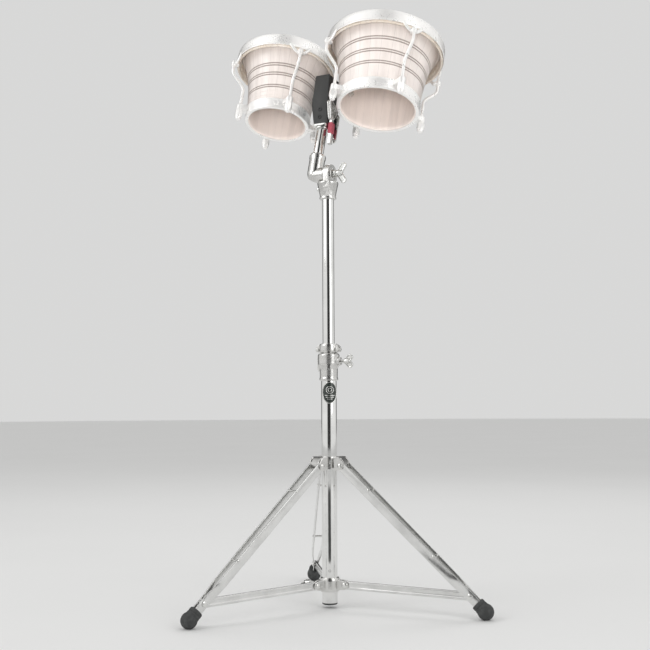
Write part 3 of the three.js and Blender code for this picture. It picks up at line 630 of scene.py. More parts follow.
def build_hub():
    bm = bmesh.new()
    h = HUB
    bore = LOWER_TUBE.radius + SLIDE_FIT
    add_lathe(bm, [(bore, h.bottom), (h.radius, h.bottom), (h.radius + 0.6, h.bottom + 4),
        (h.radius + 0.6, h.top - 5), (h.radius - 0.4, h.top), (bore, h.top)], 1.1)
    r, z = HUB_PIN.x, HUB_PIN.z
    lug = fillet([(bore + 1, z - 9), (r, z - 8), (r + 5, z - 6), (r + 7.5, z), (r + 5, z + 6), (r, z + 8),
        (bore + 1, z + 10)], 2.2)
    for angle in LEG_ANGLES:
        for low, high in ((2.6, 5.7), (-5.7, -2.6)):
            add_slab(bm, lug, Y, low, high, turn(angle), 0.7)
    boss = [(0, bore + 1, 0), (9.5, bore + 1), (8, bore + 5), (7.5, h.boss_end), (0, h.boss_end, 0)]
    add_lathe(bm, boss, 1.2, turn(h.boss_angle) @ shift(0, 0, z) @ turn(90, Y), 48)
    piece("base_hub_casting", bm, "hub", "chrome_casting", ["base_hub"], cast=0.5, smooth=4)

    for i, angle in enumerate(LEG_ANGLES):
        bm = bmesh.new()
        add_rivet(bm, r, z, 5.9, 3, 5, turn(angle))
        piece(f"hub_rivet_{i + 1}", bm, "hub", "chrome_hardware", [f"hub_pin_{i + 1}"])
    wing_screw("hub_thumb_screw", "hub_screw", "hub_wing_screw", turn(h.boss_angle) @ shift(0, 0,
        z) @ turn(h.wing_turn, X), bore + SLIDE_FIT, 37, 55, 13, 3, 5, 5.9)


# ---- legs -------------------------------------------------------------------------------

LEG_UP = (LEG_PIVOT - LEG_FOOT).normalized()
LEG_OUT = Vector((LEG_UP.z, 0, -LEG_UP.x))
LEG_LENGTH = (LEG_PIVOT - LEG_FOOT).length


def strip_middle(up):
    for (u0, m0), (u1, m1) in zip(LEG_SPREAD, LEG_SPREAD[1:]):
        if up <= u1:
            return m0 + (m1 - m0) * (up - u0) / (u1 - u0)
    return LEG_SPREAD[-1][1]


def soft_middle(up):
    """The strips' bends, eased over a few millimetres."""
    return sum(strip_middle(max(0, up + k * 2.2)) for k in range(-3, 4)) / 7


def bar_section(half_width, half_thick, edge):
    """Flat bar section with round edges."""
    corners = [(half_thick, half_width), (-half_thick, half_width), (-half_thick, -half_width),
        (half_thick, -half_width)]
    return fillet(corners, edge, steps=3)


def build_leg(number, angle):
    body = f"leg_{number}"
    at = turn(angle)
    spin = at.to_3x3()
    half = 8.0
    low_end = 8.0
    stations = [low_end + half * (1 - math.cos(math.radians(d))) for d in (15, 30, 45, 60, 75, 90)]
    stations += [20 + 3 * k for k in range(24)] + [96 + 18 * k for k in range(int((LEG_LENGTH - 100) / 18))]
    stations += [LEG_LENGTH + half * math.sin(math.radians(d)) for d in (0, 15, 30, 45, 60, 72, 82)]
    stations = sorted({round(s, 3) for s in stations})

    def width(up):
        if up > LEG_LENGTH:
            return math.sqrt(max(0.4, half**2 - (up - LEG_LENGTH) ** 2))
        if up < low_end + half:
            return math.sqrt(max(0.4, half**2 - (low_end + half - up) ** 2))
        return half

    for side, name in ((1, "left"), (-1, "right")):
        bm = bmesh.new()
        path = [at @ (LEG_FOOT + LEG_UP * up + Vector((0, side * soft_middle(up), 0))) for up in stations]
        add_sweep(bm, path, lambda i: bar_section(width(stations[i]), 1.0, 0.75), spin @ Vector((0, 1, 0)))
        piece(f"leg_bar_{name}_{number}", bm, body, "chrome_strip", [f"leg_strip_{name}_{number}"])

    bm = bmesh.new()
    for up in SPACERS_UP:
        reach = soft_middle(up)
        spacer = at @ Matrix.Translation(LEG_FOOT + LEG_UP * up + LEG_OUT * SPACER_OUT)
        add_lathe(bm, [(0, 1.2 - reach, 0), (2.7, 1.2 - reach), (2.7, 2.6 - reach), (2.1, 3 - reach),
            (2.1, reach - 3), (2.7, reach - 2.6), (2.7, reach - 1.2), (0, reach - 1.2, 0)], 0.3,
            spacer @ turn(90, X), 32)
        for flip in (-90, 90):
            add_turned(bm, dome(2.7, reach + 0.9, 1.5), spacer @ turn(flip, X), 28)
    piece(f"leg_spacer_stud_{number}", bm, body, "chrome_hardware", [f"leg_spacer_{number}"])
    build_foot(number, at, body)

    pin = LEG_FOOT + LEG_UP * BRACE_PIN_UP
    along = (pin - HUB_PIN).normalized()
    length = (pin - HUB_PIN).length
    reach = 7.5
    marks = [-reach * math.sin(math.radians(d)) for d in (82, 70, 55, 40, 20, 0)]
    marks += [length * k / 12 for k in range(1, 12)]
    marks += [length + reach * math.sin(math.radians(d)) for d in (0, 20, 40, 55, 70, 82)]

    def brace_section(i):
        over = max(0, -marks[i], marks[i] - length)
        plain = marks[i] < 14 or marks[i] > length - 14
        return brace_outline(math.sqrt(max(0.6, reach**2 - over**2)), 0.02 if plain else 0.75)

    bm = bmesh.new()
    add_sweep(bm, [at @ (HUB_PIN + along * m) for m in marks], brace_section, spin @ Vector((0, 1, 0)))
    piece(f"brace_bar_{number}", bm, f"brace_{number}", "chrome_strip", [f"brace_{number}"])
    bm = bmesh.new()
    add_rivet(bm, pin.x, pin.z, 5.2, 3, 5, at)
    piece(f"brace_rivet_{number}", bm, f"brace_{number}", "chrome_hardware", [f"brace_pin_{number}"])


def brace_outline(half_width, groove):
    """Brace section, always with the same number of points."""
    w = half_width
    g = min(3.6, w * 0.5)
    corners = [(2, w), (-2, w), (-2, g), (-2 + groove, g * 0.72), (-2 + groove, -g * 0.72), (-2, -g), (-2, -w),
        (2, -w), (2, -g), (2 - groove, -g * 0.72), (2 - groove, g * 0.72), (2, g)]
    return fillet(corners, 0.8, steps=3)


def build_foot(number, at, body):
    """Ribbed rubber ball foot on a sleeve, worn flat where it stands."""
    ball = 14.5
    profile = [(0, -ball, 0)]
    for degrees in (-78, -64, -50, -36, -22, -8, 6, 20, 32):
        a = math.radians(degrees)
        profile.append((ball * math.cos(a), ball * math.sin(a), 1.5))
    profile += [(12.3, 9.6, 0.8), (12.3, 12, 0.5), (11.4, 12.5, 0.4), (11.4, 13.4, 0.4), (12.2, 13.9, 0.5),
        (12, 19, 0.8), (11.2, 20, 0.5), (0, 20, 0)]
    lean = math.atan2(-LEG_UP.x, LEG_UP.z)
    place = at @ Matrix.Translation(LEG_FOOT) @ Matrix.Rotation(-lean, 4, Y)
    bm = bmesh.new()
    add_lathe(bm, profile, 1.2, place, 72)
    for vert in bm.verts:
        vert.co.z = max(vert.co.z, 0.0)
    bmesh.ops.remove_doubles(bm, verts=bm.verts[:], dist=0.001)
    piece(f"rubber_foot_tip_{number}", bm, body, "black_rubber", [f"rubber_foot_{number}"])


# ---- height lock, upper tube and tilter --------------------------------------------------


def build_height_lock():
    bm = bmesh.new()
    add_lathe(bm, [(11.4, 400), (12.5, 400), (12.5, 458.3), (14.3, 458.3), (14.3, 460.3), (11.4, 460.3)], 0.3)
    piece("height_bushing_sleeve", bm, "column", "nylon", ["height_bushing"])

    bm = bmesh.new()
    bore = LOWER_TUBE.radius + SLIDE_FIT
    low, body, top, bolt = CLAMP.bottom, CLAMP.body, CLAMP.top, CLAMP.bolt
    add_lathe(bm, [(bore, low), (16.4, low), (17.4, low + 1.5), (17.4, low + 5), (16.6, low + 6.2),
        (16.8, body - 3), (20, body + 4), (20.2, top - 3), (18, top), (11.7, top), (11.7, top - 4),
        (bore, top - 4.6)], 1.1)
    boss = [(0, bore + 1, 0), (10, bore + 1), (8.6, 19), (8, 25), (0, 25, 0)]
    add_lathe(bm, boss, 1.2, shift(0, 0, bolt) @ turn(90, Y), 48)
    add_slab(bm, fillet([(-5, body - 8), (5, body - 8), (5, top - 3), (-5, top - 3)], 3), X, -21.3, -17, None,
        1.4)
    piece("height_clamp_casting", bm, "column", "chrome_casting", ["height_clamp"], cast=0.5, smooth=4)
    wing_screw("height_thumb_bolt", "height_screw", "height_wing_bolt", shift(0, 0, bolt), 13.2, 32, 50, 13, 3,
        5.5, 6.1)

    bm = bmesh.new()
    low, top, reach = STOP.bottom, STOP.top, STOP.tab
    add_lathe(bm, [(11.5, low), (16.4, low), (17.2, low + 3), (17.2, top - 3), (16.2, top), (11.5, top)], 1.2)
    for side in (1, -1):
        tab = [(14, low + 1.5), (reach, low + 1.5), (reach, top - 7.5), (reach - 4.5, top - 2.2), (14, top - 1)]
        tab = fillet([(side * x, z) for x, z in tab], 2.2)
        for inner, outer in ((1.1, 5.4), (-5.4, -1.1)):
            add_slab(bm, tab, Y, inner, outer, None, 0.8)
    piece("memory_lock_casting", bm, "height_stop", "chrome_casting", ["memory_lock"], cast=0.45, smooth=3)
    bm = bmesh.new()
    middle = (low + top - 5) / 2
    for side in (1, -1):
        place = shift(side * 20.5, 0, middle) @ turn(90, X)
        add_lathe(bm, [(0, -7.4, 0), (3.1, -7.4), (3.1, 7.6), (0, 7.6, 0)], 0.8, place, 24)
    piece("memory_lock_bolts", bm, "height_stop", "chrome_hardware")

    bm = bmesh.new()
    t = UPPER_TUBE
    add_turned(bm, tube(t.radius, t.bore, t.bottom, t.top), steps=112)
    piece("upper_tube_steel", bm, "mast", "chrome_tube", ["upper_tube"])


def build_tilter():
    bm = bmesh.new()
    bore = UPPER_TUBE.radius + SLIDE_FIT
    add_lathe(bm, [(bore, 756), (15.4, 756), (16, 757.4), (15.6, 759.6), (14.8, 760.4), (16.4, 770), (20, 786),
        (19, 789), (0, 789, 0), (0, 782, 0), (bore, 782)], 1.0)
    add_slab(bm, capsule((0, 779), (0, TILT_Z), 18.5, 24), X, -0.7, 10, None, 1.4)
    add_slab(bm, fillet([(-15, 760), (15, 760), (17, 787), (-17, 787)], 2), X, 0.5, 9, None, 1)
    add_lathe(bm, [(0, 8, 0), (11, 8), (10.2, 11), (0, 11, 0)], 0.8, shift(0, 0, TILT_Z) @ turn(90, Y), 64)
    piece("tilter_base_casting", bm, "mast", "chrome_casting", ["tilter_base"], cast=0.55, smooth=3)

    bm = bmesh.new()
    add_lathe(bm, [(0, 17, 0), (4.2, 17), (4.2, 20.6), (3.4, 21.6), (1.7, 21.6, 0), (1.7, 20.2, 0),
        (0, 20.2, 0)], 0.6, shift(0, 0, 777) @ turn(-90, Y), 32)
    piece("tilter_set_screw", bm, "mast", "chrome_hardware")
    bm = bmesh.new()
    for k in range(48):
        place = shift(0, 0, TILT_Z) @ turn(k * 7.5, X)
        add_slab(bm, [(-0.75, 12.6), (0.75, 12.6), (0.9, 17.6), (-0.9, 17.6)], X, -1.15, -0.4, place, 0)
    piece("tilter_teeth", bm, "mast", "chrome_casting")
    wing_screw("tilt_thumb_bolt", "tilt_screw", "tilt_wing_bolt", shift(0, 0, TILT_Z), -22, 18, 39, 20, 4, 6.5,
        6, (7.5, 11.2, 18.5))

    bm = bmesh.new()
    at = TILTED @ shift(POST_X)
    add_lathe(bm, [(0, -10, 0), (8, -8.5), (13, -4), (15, 3), (15, 34), (15.8, 36.5), (15.8, 42), (14.2, 44),
        (10.4, 44), (10.4, 40), (0, 40, 0)], 1.4, at)
    add_lathe(bm, [(0, POST_X, 0), (13.5, POST_X), (13.5, -6), (16.5, -4.4), (16.5, -1.5), (0, -1.5, 0)], 1.3,
        TILTED @ turn(90, Y), 80)
    piece("tilter_head_casting", bm, "drum_carrier", "chrome_casting", ["tilter_head"], cast=0.55, smooth=4)

    bm = bmesh.new()
    add_lathe(bm, [(0, 14.4, 0), (10, 14.4), (10, 104.4), (0, 104.4, 0)], 0.5, at, 96)
    piece("mount_post_steel", bm, "drum_carrier", "chrome_tube", ["mount_post"])


# ---- drum mount -------------------------------------------------------------------------


def build_mount():
    bm = bmesh.new()
    p = PLATE
    left, right = POST_X - p.half_width, POST_X + p.half_width
    corners = [(left, p.front), (right, p.front), (right, p.back), (left, p.back)]
    add_slab(bm, fillet(corners, 3), Z, p.bottom, p.top, TILTED, 0.7)
    piece("mount_plate_steel", bm, "drum_carrier", "chrome_hardware", ["mount_plate"])
    bm = bmesh.new()
    add_lathe(bm, [(10.1, 100.1), (13, 100.1), (13.6, 101.3), (13.6, 104.1), (10.1, 104.4)], 0.8,
        TILTED @ shift(POST_X), 64)
    for x, y in ((-9.5, 21), (9.5, 21)):
        place = TILTED @ shift(POST_X + x, y, 0) @ turn(180, X)
        add_turned(bm, dome(3, 0.2 - p.bottom, 1.8), place, 24)
    piece("mount_plate_fasteners", bm, "drum_carrier", "chrome_hardware")
    build_block()
    build_lever()
    for drum in DRUMS:
        build_stud(drum)


def build_block():
    """Moulded block: it leans out to the audience, and its left face bends at a waist."""
    b = BLOCK
    low, top, left = b.bottom, b.top, b.left
    waist = low + 42
    lean = 16.5 / (top - 8.5 - low)
    outline = ((-13, low), (27, low), (28, low + 4), (27.8, waist), (27.5, top - 20), (15.5, top),
        (-29.5, top - 8.5), (-13 - lean * (waist - low), waist))

    def left_at(t):
        if t < waist:
            return left + 7.5 * (waist - t) / (waist - low)
        return left + 6 * (t - waist) / (top - waist)

    bm = bmesh.new()
    near = [bm.verts.new(TILTED @ Vector((left_at(t), m, t))) for m, t in outline]
    far = [bm.verts.new(TILTED @ Vector((b.right, m, t))) for m, t in outline]
    bm.faces.new([near[i] for i in (0, 1, 2, 3, 7)])
    bm.faces.new([near[i] for i in (7, 3, 4, 5, 6)])
    bm.faces.new(far)
    bridge(bm, near, far)
    bmesh.ops.recalc_face_normals(bm, faces=bm.faces[:])
    bends = [e for e in bm.edges if e.calc_face_angle(0) > math.radians(12)]
    bmesh.ops.bevel(bm, geom=bends, offset=2.2, segments=4, affect="EDGES", profile=0.5, clamp_overlap=True)
    piece("center_block_body", bm, "drum_carrier", "black_block", ["center_block"], sharp=50)

    bm = bmesh.new()
    for t in (low + 14, low + 30):
        place = TILTED @ shift(-29, -13 - lean * (t - low), t) @ turn(90 + math.degrees(math.atan(lean)), X)
        add_lathe(bm, [(0, -0.6, 0), (4.4, -0.6), (4.4, 0.9), (3.6, 1.5), (2.2, 1.5, 0), (2.2, 0.2, 0),
            (0, 0.2, 0)], 0.5, place, 36)
    piece("center_block_screws", bm, "drum_carrier", "black_block")

    bm = bmesh.new()
    inner = LEVER.inner + 5.5
    add_slab(bm, capsule((inner, 83), (inner, 136), 5.5), Y, 13, 16, TILTED, 0.7)
    for t in (84, 135):
        for spin in (90, -90):
            add_turned(bm, dome(2.6, 1.4, 1.1), TILTED @ shift(inner, 14.5, t) @ turn(spin, X), 24)
    piece("jaw_plate_steel", bm, "drum_carrier", "chrome_hardware", ["jaw_plate"])


def build_lever():
    m, t = LEVER.pivot
    inner, outer = LEVER.inner, LEVER.outer
    bm = bmesh.new()
    head = fillet([(-24, 149), (-21, 155), (-15, 157), (9, 149.5), (11, 146), (10, 138), (3, 121), (-9.5, 117),
        (-11, 119)], 2.5)
    add_slab(bm, head, X, inner + 0.3, outer - 5, TILTED, 0.8)
    ribs = (((-21.5, 151), (-15, 154.6)), ((-15, 154.6), (8, 147.2)), ((8.4, 147), (7.8, 138.5)),
        ((7.8, 138.5), (1.4, 122.8)), ((1.4, 122.8), (-8.6, 119.6)), ((-8.8, 119.8), (-21.5, 150.6)),
        ((-14, 154), (-4, 121)), ((8, 147), (-12.5, 130)))
    for (m0, t0), (m1, t1) in ribs:
        line = [TILTED @ Vector((outer - 3, m0 + (m1 - m0) * k / 4, t0 + (t1 - t0) * k / 4)) for k in range(5)]
        add_sweep(bm, line, [(u * 2.7, v * 1.15) for u, v in circle(1, 12)],
            TILTED.to_3x3() @ Vector((1, 0, 0)))
    add_lathe(bm, [(0, inner + 0.3, 0), (6, inner + 0.3), (6, outer - 0.4), (0, outer - 0.4, 0)], 0.8,
        TILTED @ shift(0, m, t) @ turn(90, Y), 48)
    end = -LEVER.arm
    arm = fillet([(-4.2, 3), (4.2, 3), (4.2, end + 2), (2.6, end), (-2.6, end), (-4.2, end + 2)], 1.2)
    add_slab(bm, arm, X, inner + 1.2, outer - 1.2, HUNG, 0.8)
    piece("cam_lever_casting", bm, "lever", "chrome_casting", ["cam_lever"], cast=0.42, smooth=2)

    bm = bmesh.new()
    low, top = LEVER.grip
    middle = (inner + outer) / 2 + 0.5
    wide, deep = 6.5, (outer - inner) / 2 + 0.7
    stations = [low + (top - low) * k / 56 for k in range(57)]

    def grip_section(i):
        h = (stations[i] - low) / (top - low)
        ends = min(1, 0.62 + 3.2 * min(h, 1 - h))
        ridge = 1 + (0.035 * math.cos(2 * math.pi * h * 9) if 0.1 < h < 0.9 else 0)
        w, d = wide * ends * ridge, deep * ends * ridge
        return fillet([(d, w), (-d, w), (-d, -w), (d, -w)], 3.2, steps=6)

    path = [HUNG @ Vector((middle, 0, s)) for s in stations]
    add_sweep(bm, path, grip_section, HUNG.to_3x3() @ Vector((1, 0, 0)))
    piece("lever_grip_rubber", bm, "lever", "red_grip", ["lever_grip"], sharp=60)

    bm = bmesh.new()
    place = TILTED @ shift(0, m, t) @ turn(90, Y)
    add_turned(bm, [(0, inner - 9), (3, inner - 9), (3, outer + 1), (0, outer + 1)], place, 32)
    add_lathe(bm, [(0, outer + 0.2, 0), (5.5, outer + 0.2), (5.5, outer + 1.4), (4.2, outer + 2.4),
        (0, outer + 2.5, 0)], 0.6, place, 40)
    piece("lever_pivot_pin", bm, "drum_carrier", "chrome_hardware", ["lever_pin"])


def build_stud(drum):
    """Stud from the block into a shell: a stepped collar outside, a shaft, a hex nut and washer inside."""
    side = drum.side
    h = STUD.t - DRUM_BOTTOM
    face = BLOCK.left + BLOCK.seat if side > 0 else BLOCK.right
    wide = STUD.collar
    outside = drum.x + side * shell_radius(drum, h)
    inside = drum.x + side * math.sqrt(shell_bore(drum, h) ** 2 - (STUD.m + 8) ** 2)
    place = TILTED @ shift(0, STUD.m, STUD.t) @ turn(90, Y)
    a, b = face - side * 0.3, outside + side * 1.6
    bm = bmesh.new()
    add_lathe(bm, [(0, a, 0), (wide, a), (wide, a + (b - a) * 0.34), (wide - 1.5, a + (b - a) * 0.42),
        (wide - 1.5, a + (b - a) * 0.66), (wide, a + (b - a) * 0.74), (wide, b), (0, b, 0)], 0.9, place, 72)
    add_turned(bm, threaded(STUD.shaft, *sorted((b, inside - side * 8))), place, 32)
    add_lathe(bm, [(0, inside - side * 1.0, 0), (9, inside - side * 1.0), (9, inside - side * 2.6),
        (0, inside - side * 2.6, 0)], 0.4, place, 48)
    nut = fillet([(0, inside - side * 2.6, 0), (6.6, inside - side * 2.6), (7.4, inside - side * 3.4),
        (7.4, inside - side * 6.2), (6.6, inside - side * 7), (0, inside - side * 7, 0)], 0.3)
    add_turned(bm, nut, place, 72, flats=6.4)
    piece(f"{drum.name}_stud_set", bm, "drum_carrier", "chrome_hardware", [f"{drum.name}_drum_stud"])


# ---- drums ------------------------------------------------------------------------------


def skin_radius(drum):
    return drum.rim - RIM_WIDTH


def flare(h):
    u = h / SHELL_TOP
    return 0.32 * u + 0.68 * u**3


def shell_radius(drum, h):
    return drum.bottom + (skin_radius(drum) - 1.6 - drum.bottom) * flare(h)


def shell_bore(drum, h):
    return drum.bore + (skin_radius(drum) - 10.6 - drum.bore) * flare(h)


def build_shell(drum, at):
    """Flared shell with turned grooves in pairs. The grooves above 40 mm take a darker wood as painted shade,
    and the inside a lighter wood as painted light.
    """
    top = skin_radius(drum) - 1.6
    cuts = [(h, 1.3, 1.1) for h in drum.grooves] + [(h, 0.9, 0.5) for h in drum.rings]
    marks = {1.5 + 4.1 * k for k in range(1, 34)}
    marks = {m for m in marks if all(abs(m - h) > w + 1 for h, w, _ in cuts) and m < 138}
    outside = [(shell_radius(drum, h), h) for h in marks]
    for h, w, depth in cuts:
        outside += [(shell_radius(drum, h + s * w) - d, h + s * w * k) for s, k,
            d in ((-1, 1, 0), (-1, 0.55, depth), (1, 0.55, depth), (1, 1, 0))]
    outside.sort(key=lambda p: p[1])
    inside = [(shell_bore(drum, h), h) for h in range(130, 4, -6)]
    edge = [(top - 0.1, 139), (top - 0.3, 142), (top - 1.6, 144.6), (top - 3.6, 145.9), (top - 5.4, SHELL_TOP),
        (top - 7.5, 144.8), (top - 9.2, 141.5)]
    bottom = drum.bottom
    foot = [(drum.bore + 0.1, 3), (drum.bore + 0.9, 1.8), (drum.bore + 2, 1.5), (bottom - 1, 1.5)]
    profile = [(bottom - 0.2, 2.2), *outside, *edge, *inside, *foot]

    def grooved(a, b):
        h = (a[1] + b[1]) / 2
        middle = (a[0] + b[0]) / 2
        # faces inside the shell take the lighter wood, painted light
        if middle < shell_radius(drum, h) - 5:
            return 2
        # the grooves above 40 mm take the darker wood, painted shade
        return 1 if any(abs(h - c) < w * 0.95 for c, w, _ in cuts if c > 40) else 0

    bm = bmesh.new()
    add_turned(bm, profile, at, 160, mark=grooved)
    piece(f"{drum.name}_shell_staves", bm, "drum_carrier", "drum_shell", [f"{drum.name}_drum_shell"],
        looks=SHELL_LOOKS[drum.name])


def build_head(drum, at):
    """Skin over the bearing edge, tucked round a hoop that shows below the rim."""
    r = skin_radius(drum)
    profile = [(0, 148.5, 0), (r * 0.5, 148.55, 0), (r - 6, 148.5, 3), (r - 1.2, 147.4, 3), (r, 143, 2),
        (r, 133.6, 0.8), (r + 3.6, 132.4, 0.8), (r + 4.5, 130.5, 1), (r + 4.6, 117.6, 1.2),
        (r + 2.6, 116, 1.2), (r + 0.4, 117.8, 1.2), (r + 0.2, 126, 0.5), (r - 1.2, 127.5, 0.5),
        (r - 1.2, 142.4, 2), (r - 5, 147.1, 3), (0, 147.2, 0)]
    bm = bmesh.new()
    add_turned(bm, fillet(profile), at, 160)
    piece(f"{drum.name}_head_skin", bm, "drum_carrier", "drum_skin", [f"{drum.name}_drum_head"])


def build_rim(drum, at):
    """Rolled comfort-curve rim, and four windowed ears that the rods hang from."""
    r, rim = skin_radius(drum), drum.rim
    profile = [(r + 0.5, 133.4, 0.5), (r + 5.2, 133.4, 0.6), (r + 5.4, 121.2, 0.6), (r + 5.8, 120, 0.6),
        (rim - 0.4, 120, 0.7), (rim + 0.2, 121.4, 0.8), (rim - 0.6, 124, 1), (rim - 0.4, 138, 3),
        (rim - 1.2, 144.2, 3), (rim - 4.6, 146, 2.2), (r + 0.6, 145.6, 1)]
    bm = bmesh.new()
    add_turned(bm, fillet(profile, steps=6), at, 176)
    piece(f"{drum.name}_rim_hoop", bm, "drum_carrier", "drum_chrome", [f"{drum.name}_drum_rim"])

    reach = rim + ROD.rim
    bm = bmesh.new()
    for angle in rod_angles(drum):
        place = at @ turn(angle)
        spin = place.to_3x3()
        for side in (1, -1):
            ends = [(rim - 2.4, side * 19.5, 125), (rim - 1.4, side * 16.5, 119),
                (rim + 0.2, side * 9.4, 110.5), (rim + 2, side * 3.5, 106.5)]
            line = [place @ Vector(p) for p in ends]
            add_sweep(bm, line, [(u * 2.3, v * 3.4) for u, v in circle(1, 12)], spin @ Vector((1, 0, 0)))
        add_sweep(bm, [place @ Vector((rim - 1.6, y, 122.6)) for y in (-17, -6, 6, 17)],
            [(u * 1.8, v * 2.4) for u, v in circle(1, 12)], spin @ Vector((1, 0, 0)))
        add_slab(bm, capsule((rim + 0.5, 0), (reach, 0), 5.8), Z, 104.2, 108.8, place, 1.4)
    piece(f"{drum.name}_rim_ears", bm, "drum_carrier", "drum_chrome", cast=0.65, smooth=5)


def build_bottom_ring(drum, at):
    """Pressed cup round the shell's foot, with four chunky lugs for the rods."""
    bottom = drum.bottom
    upper = shell_radius(drum, 20)
    outer = bottom + 2.2
    profile = [(bottom - 4.2, 0.2, 0.4), (bottom - 1.5, -0.2, 0.8), (outer - 0.3, 0, 1.2), (outer, 2.2, 1.2),
        (outer + 0.1, 5.2, 0.8), (outer - 0.7, 6.2, 0.6), (upper + 1.5, 17, 1.2), (upper + 2.5, 18.4, 0.8),
        (upper + 2.4, 20.2, 0.8), (upper + 0.9, 20.4, 0.4), (upper + 0.6, 17, 0.5), (bottom + 0.6, 4, 0.5),
        (bottom + 0.4, 1.4, 0.3), (bottom - 4.2, 1.2, 0.3)]
    bm = bmesh.new()
    add_turned(bm, fillet(profile, steps=5), at, 160)
    piece(f"{drum.name}_bottom_cup", bm, "drum_carrier", "drum_chrome", [f"{drum.name}_drum_bottom_ring"])

    reach = bottom + ROD.ring
    bm = bmesh.new()
    for angle in rod_angles(drum):
        place = at @ turn(angle)
        lug = fillet([(bottom + 1.6, -10.5), (reach - 4, -7), (reach + 4, -6.4), (reach + 6.4, -2.5),
            (reach + 6.4, 2.5), (reach + 4, 6.4), (reach - 4, 7), (bottom + 1.6, 10.5)], 2.6)
        add_slab(bm, lug, Z, 8.2, 18.4, place, 2.2, 3)
        add_lathe(bm, [(0, 6.8, 0), (6, 6.8), (6.6, 9), (6.6, 18), (5.6, 20.6), (0, 20.6, 0)], 1.2,
            place @ shift(reach), 40)
    piece(f"{drum.name}_bottom_lugs", bm, "drum_carrier", "drum_chrome", cast=0.65, smooth=4)


def build_ring_detail(at, drum):
    """What the cups carry on their audience side: a slot on the large drum, a round boss on the small."""
    radius = shell_radius(drum, 11) + 2.0
    place = at @ turn(CUP_DETAIL_ANGLE) @ shift(radius, 0, 11) @ turn(4, Y)
    spin = place.to_3x3()
    if drum.name == "large":
        bm = bmesh.new()
        add_slab(bm, capsule((-10.5, 0), (10.5, 0), 2.6), X, -2.4, 0.35, place, 0.3)
        piece("large_cup_slot", bm, "drum_carrier", "drum_chrome")
        bm = bmesh.new()
        path = [place @ Vector((-0.4 - (y / 12) ** 2 * 0.9, y, z)) for y,
            z in capsule((-10.5, 0), (10.5, 0), 3.1)]
        add_sweep(bm, path, circle(0.9, 10), spin @ Vector((1, 0, 0)), True)
        piece("large_cup_slot_bezel", bm, "drum_carrier", "drum_chrome")
        return
    bm = bmesh.new()
    add_lathe(bm, [(0, -2.5, 0), (5.6, -2.5), (5.6, 0.8), (4.6, 1.6), (3.4, 1.2), (0, 2.0, 0)], 0.7,
        place @ turn(90, Y), 48)
    piece("small_cup_boss", bm, "drum_carrier", "drum_chrome")


def build_rods(drum, at):
    outer, inner = drum.rim + ROD.rim, drum.bottom + ROD.ring
    low, high = ROD.bend

    def reach(h):
        t = min(1, max(0, (h - low) / (high - low)))
        return inner + (outer - inner) * t * t * (3 - 2 * t)

    for i, angle in enumerate(rod_angles(drum)):
        place = at @ turn(angle)
        bm = bmesh.new()
        heights = [ROD.top, 100, *[96 - 2 * k for k in range(25)], 40, 24]
        path = [place @ Vector((reach(h), 0, h)) for h in heights]
        add_sweep(bm, path, circle(ROD.radius, 20), place.to_3x3() @ Vector((0, 1, 0)))
        add_turned(bm, threaded(ROD.radius, -12.5, 25, 1.1, 0.32), place @ shift(inner), 28)
        add_lathe(bm, [(0, 108.6, 0), (5.1, 108.6), (5.1, 110.6), (4.2, 112.8), (2.2, 113.4), (0, 113.4, 0)],
            0.8, place @ shift(outer), 40)
        add_lathe(bm, [(0, 101.2, 0), (4.4, 101.2), (4.9, 103), (4.9, 104), (0, 104, 0)], 0.7,
            place @ shift(outer), 32)
        add_lathe(bm, [(0, 5.3, 0), (6.6, 5.3), (6.6, 6.6), (0, 6.6, 0)], 0.4, place @ shift(inner), 40)
        nut = fillet([(0, 5.2, 0), (6.8, 5.2), (7.4, 4.4), (7.4, -5), (6.6, -7.6), (5.4, -9), (5.2, -12.6),
            (3.4, -13.9), (0, -14, 0)], 0.8)
        add_turned(bm, nut, place @ shift(inner), 72, flats=6.5)
        piece(f"{drum.name}_rod_set_{i + 1}", bm, "drum_carrier", "drum_chrome",
            [f"{drum.name}_tuning_rod_{i + 1}"])


def build_drum(drum):
    at = TILTED @ shift(drum.x, 0, DRUM_BOTTOM)
    build_shell(drum, at)
    build_head(drum, at)
    build_rim(drum, at)
    build_bottom_ring(drum, at)
    build_ring_detail(at, drum)
    build_rods(drum, at)


# ---- studio -----------------------------------------------------------------------------

CAMERA_TURN = 0.4623  # around the column, from straight in front
CAMERA_PITCH = 0.0782
CAMERA_ROLL = -0.0052
CAMERA_PLACE = (0.846, -1.6976, 0.3698)


def build_camera():
    data = bpy.data.cameras.new("camera")
    data.lens = 56.35
    data.sensor_width = 36
    data.shift_x = -0.0055
    data.clip_end = 60
    camera = bpy.data.objects.new("camera", data)
    camera.matrix_world = (Matrix.Translation(CAMERA_PLACE) @ Matrix.Rotation(CAMERA_TURN, 4,
        Z) @ Matrix.Rotation(math.pi / 2 + CAMERA_PITCH, 4, X) @ Matrix.Rotation(CAMERA_ROLL, 4, Z))
    bpy.context.scene.collection.objects.link(camera)
    bpy.context.scene.camera = camera


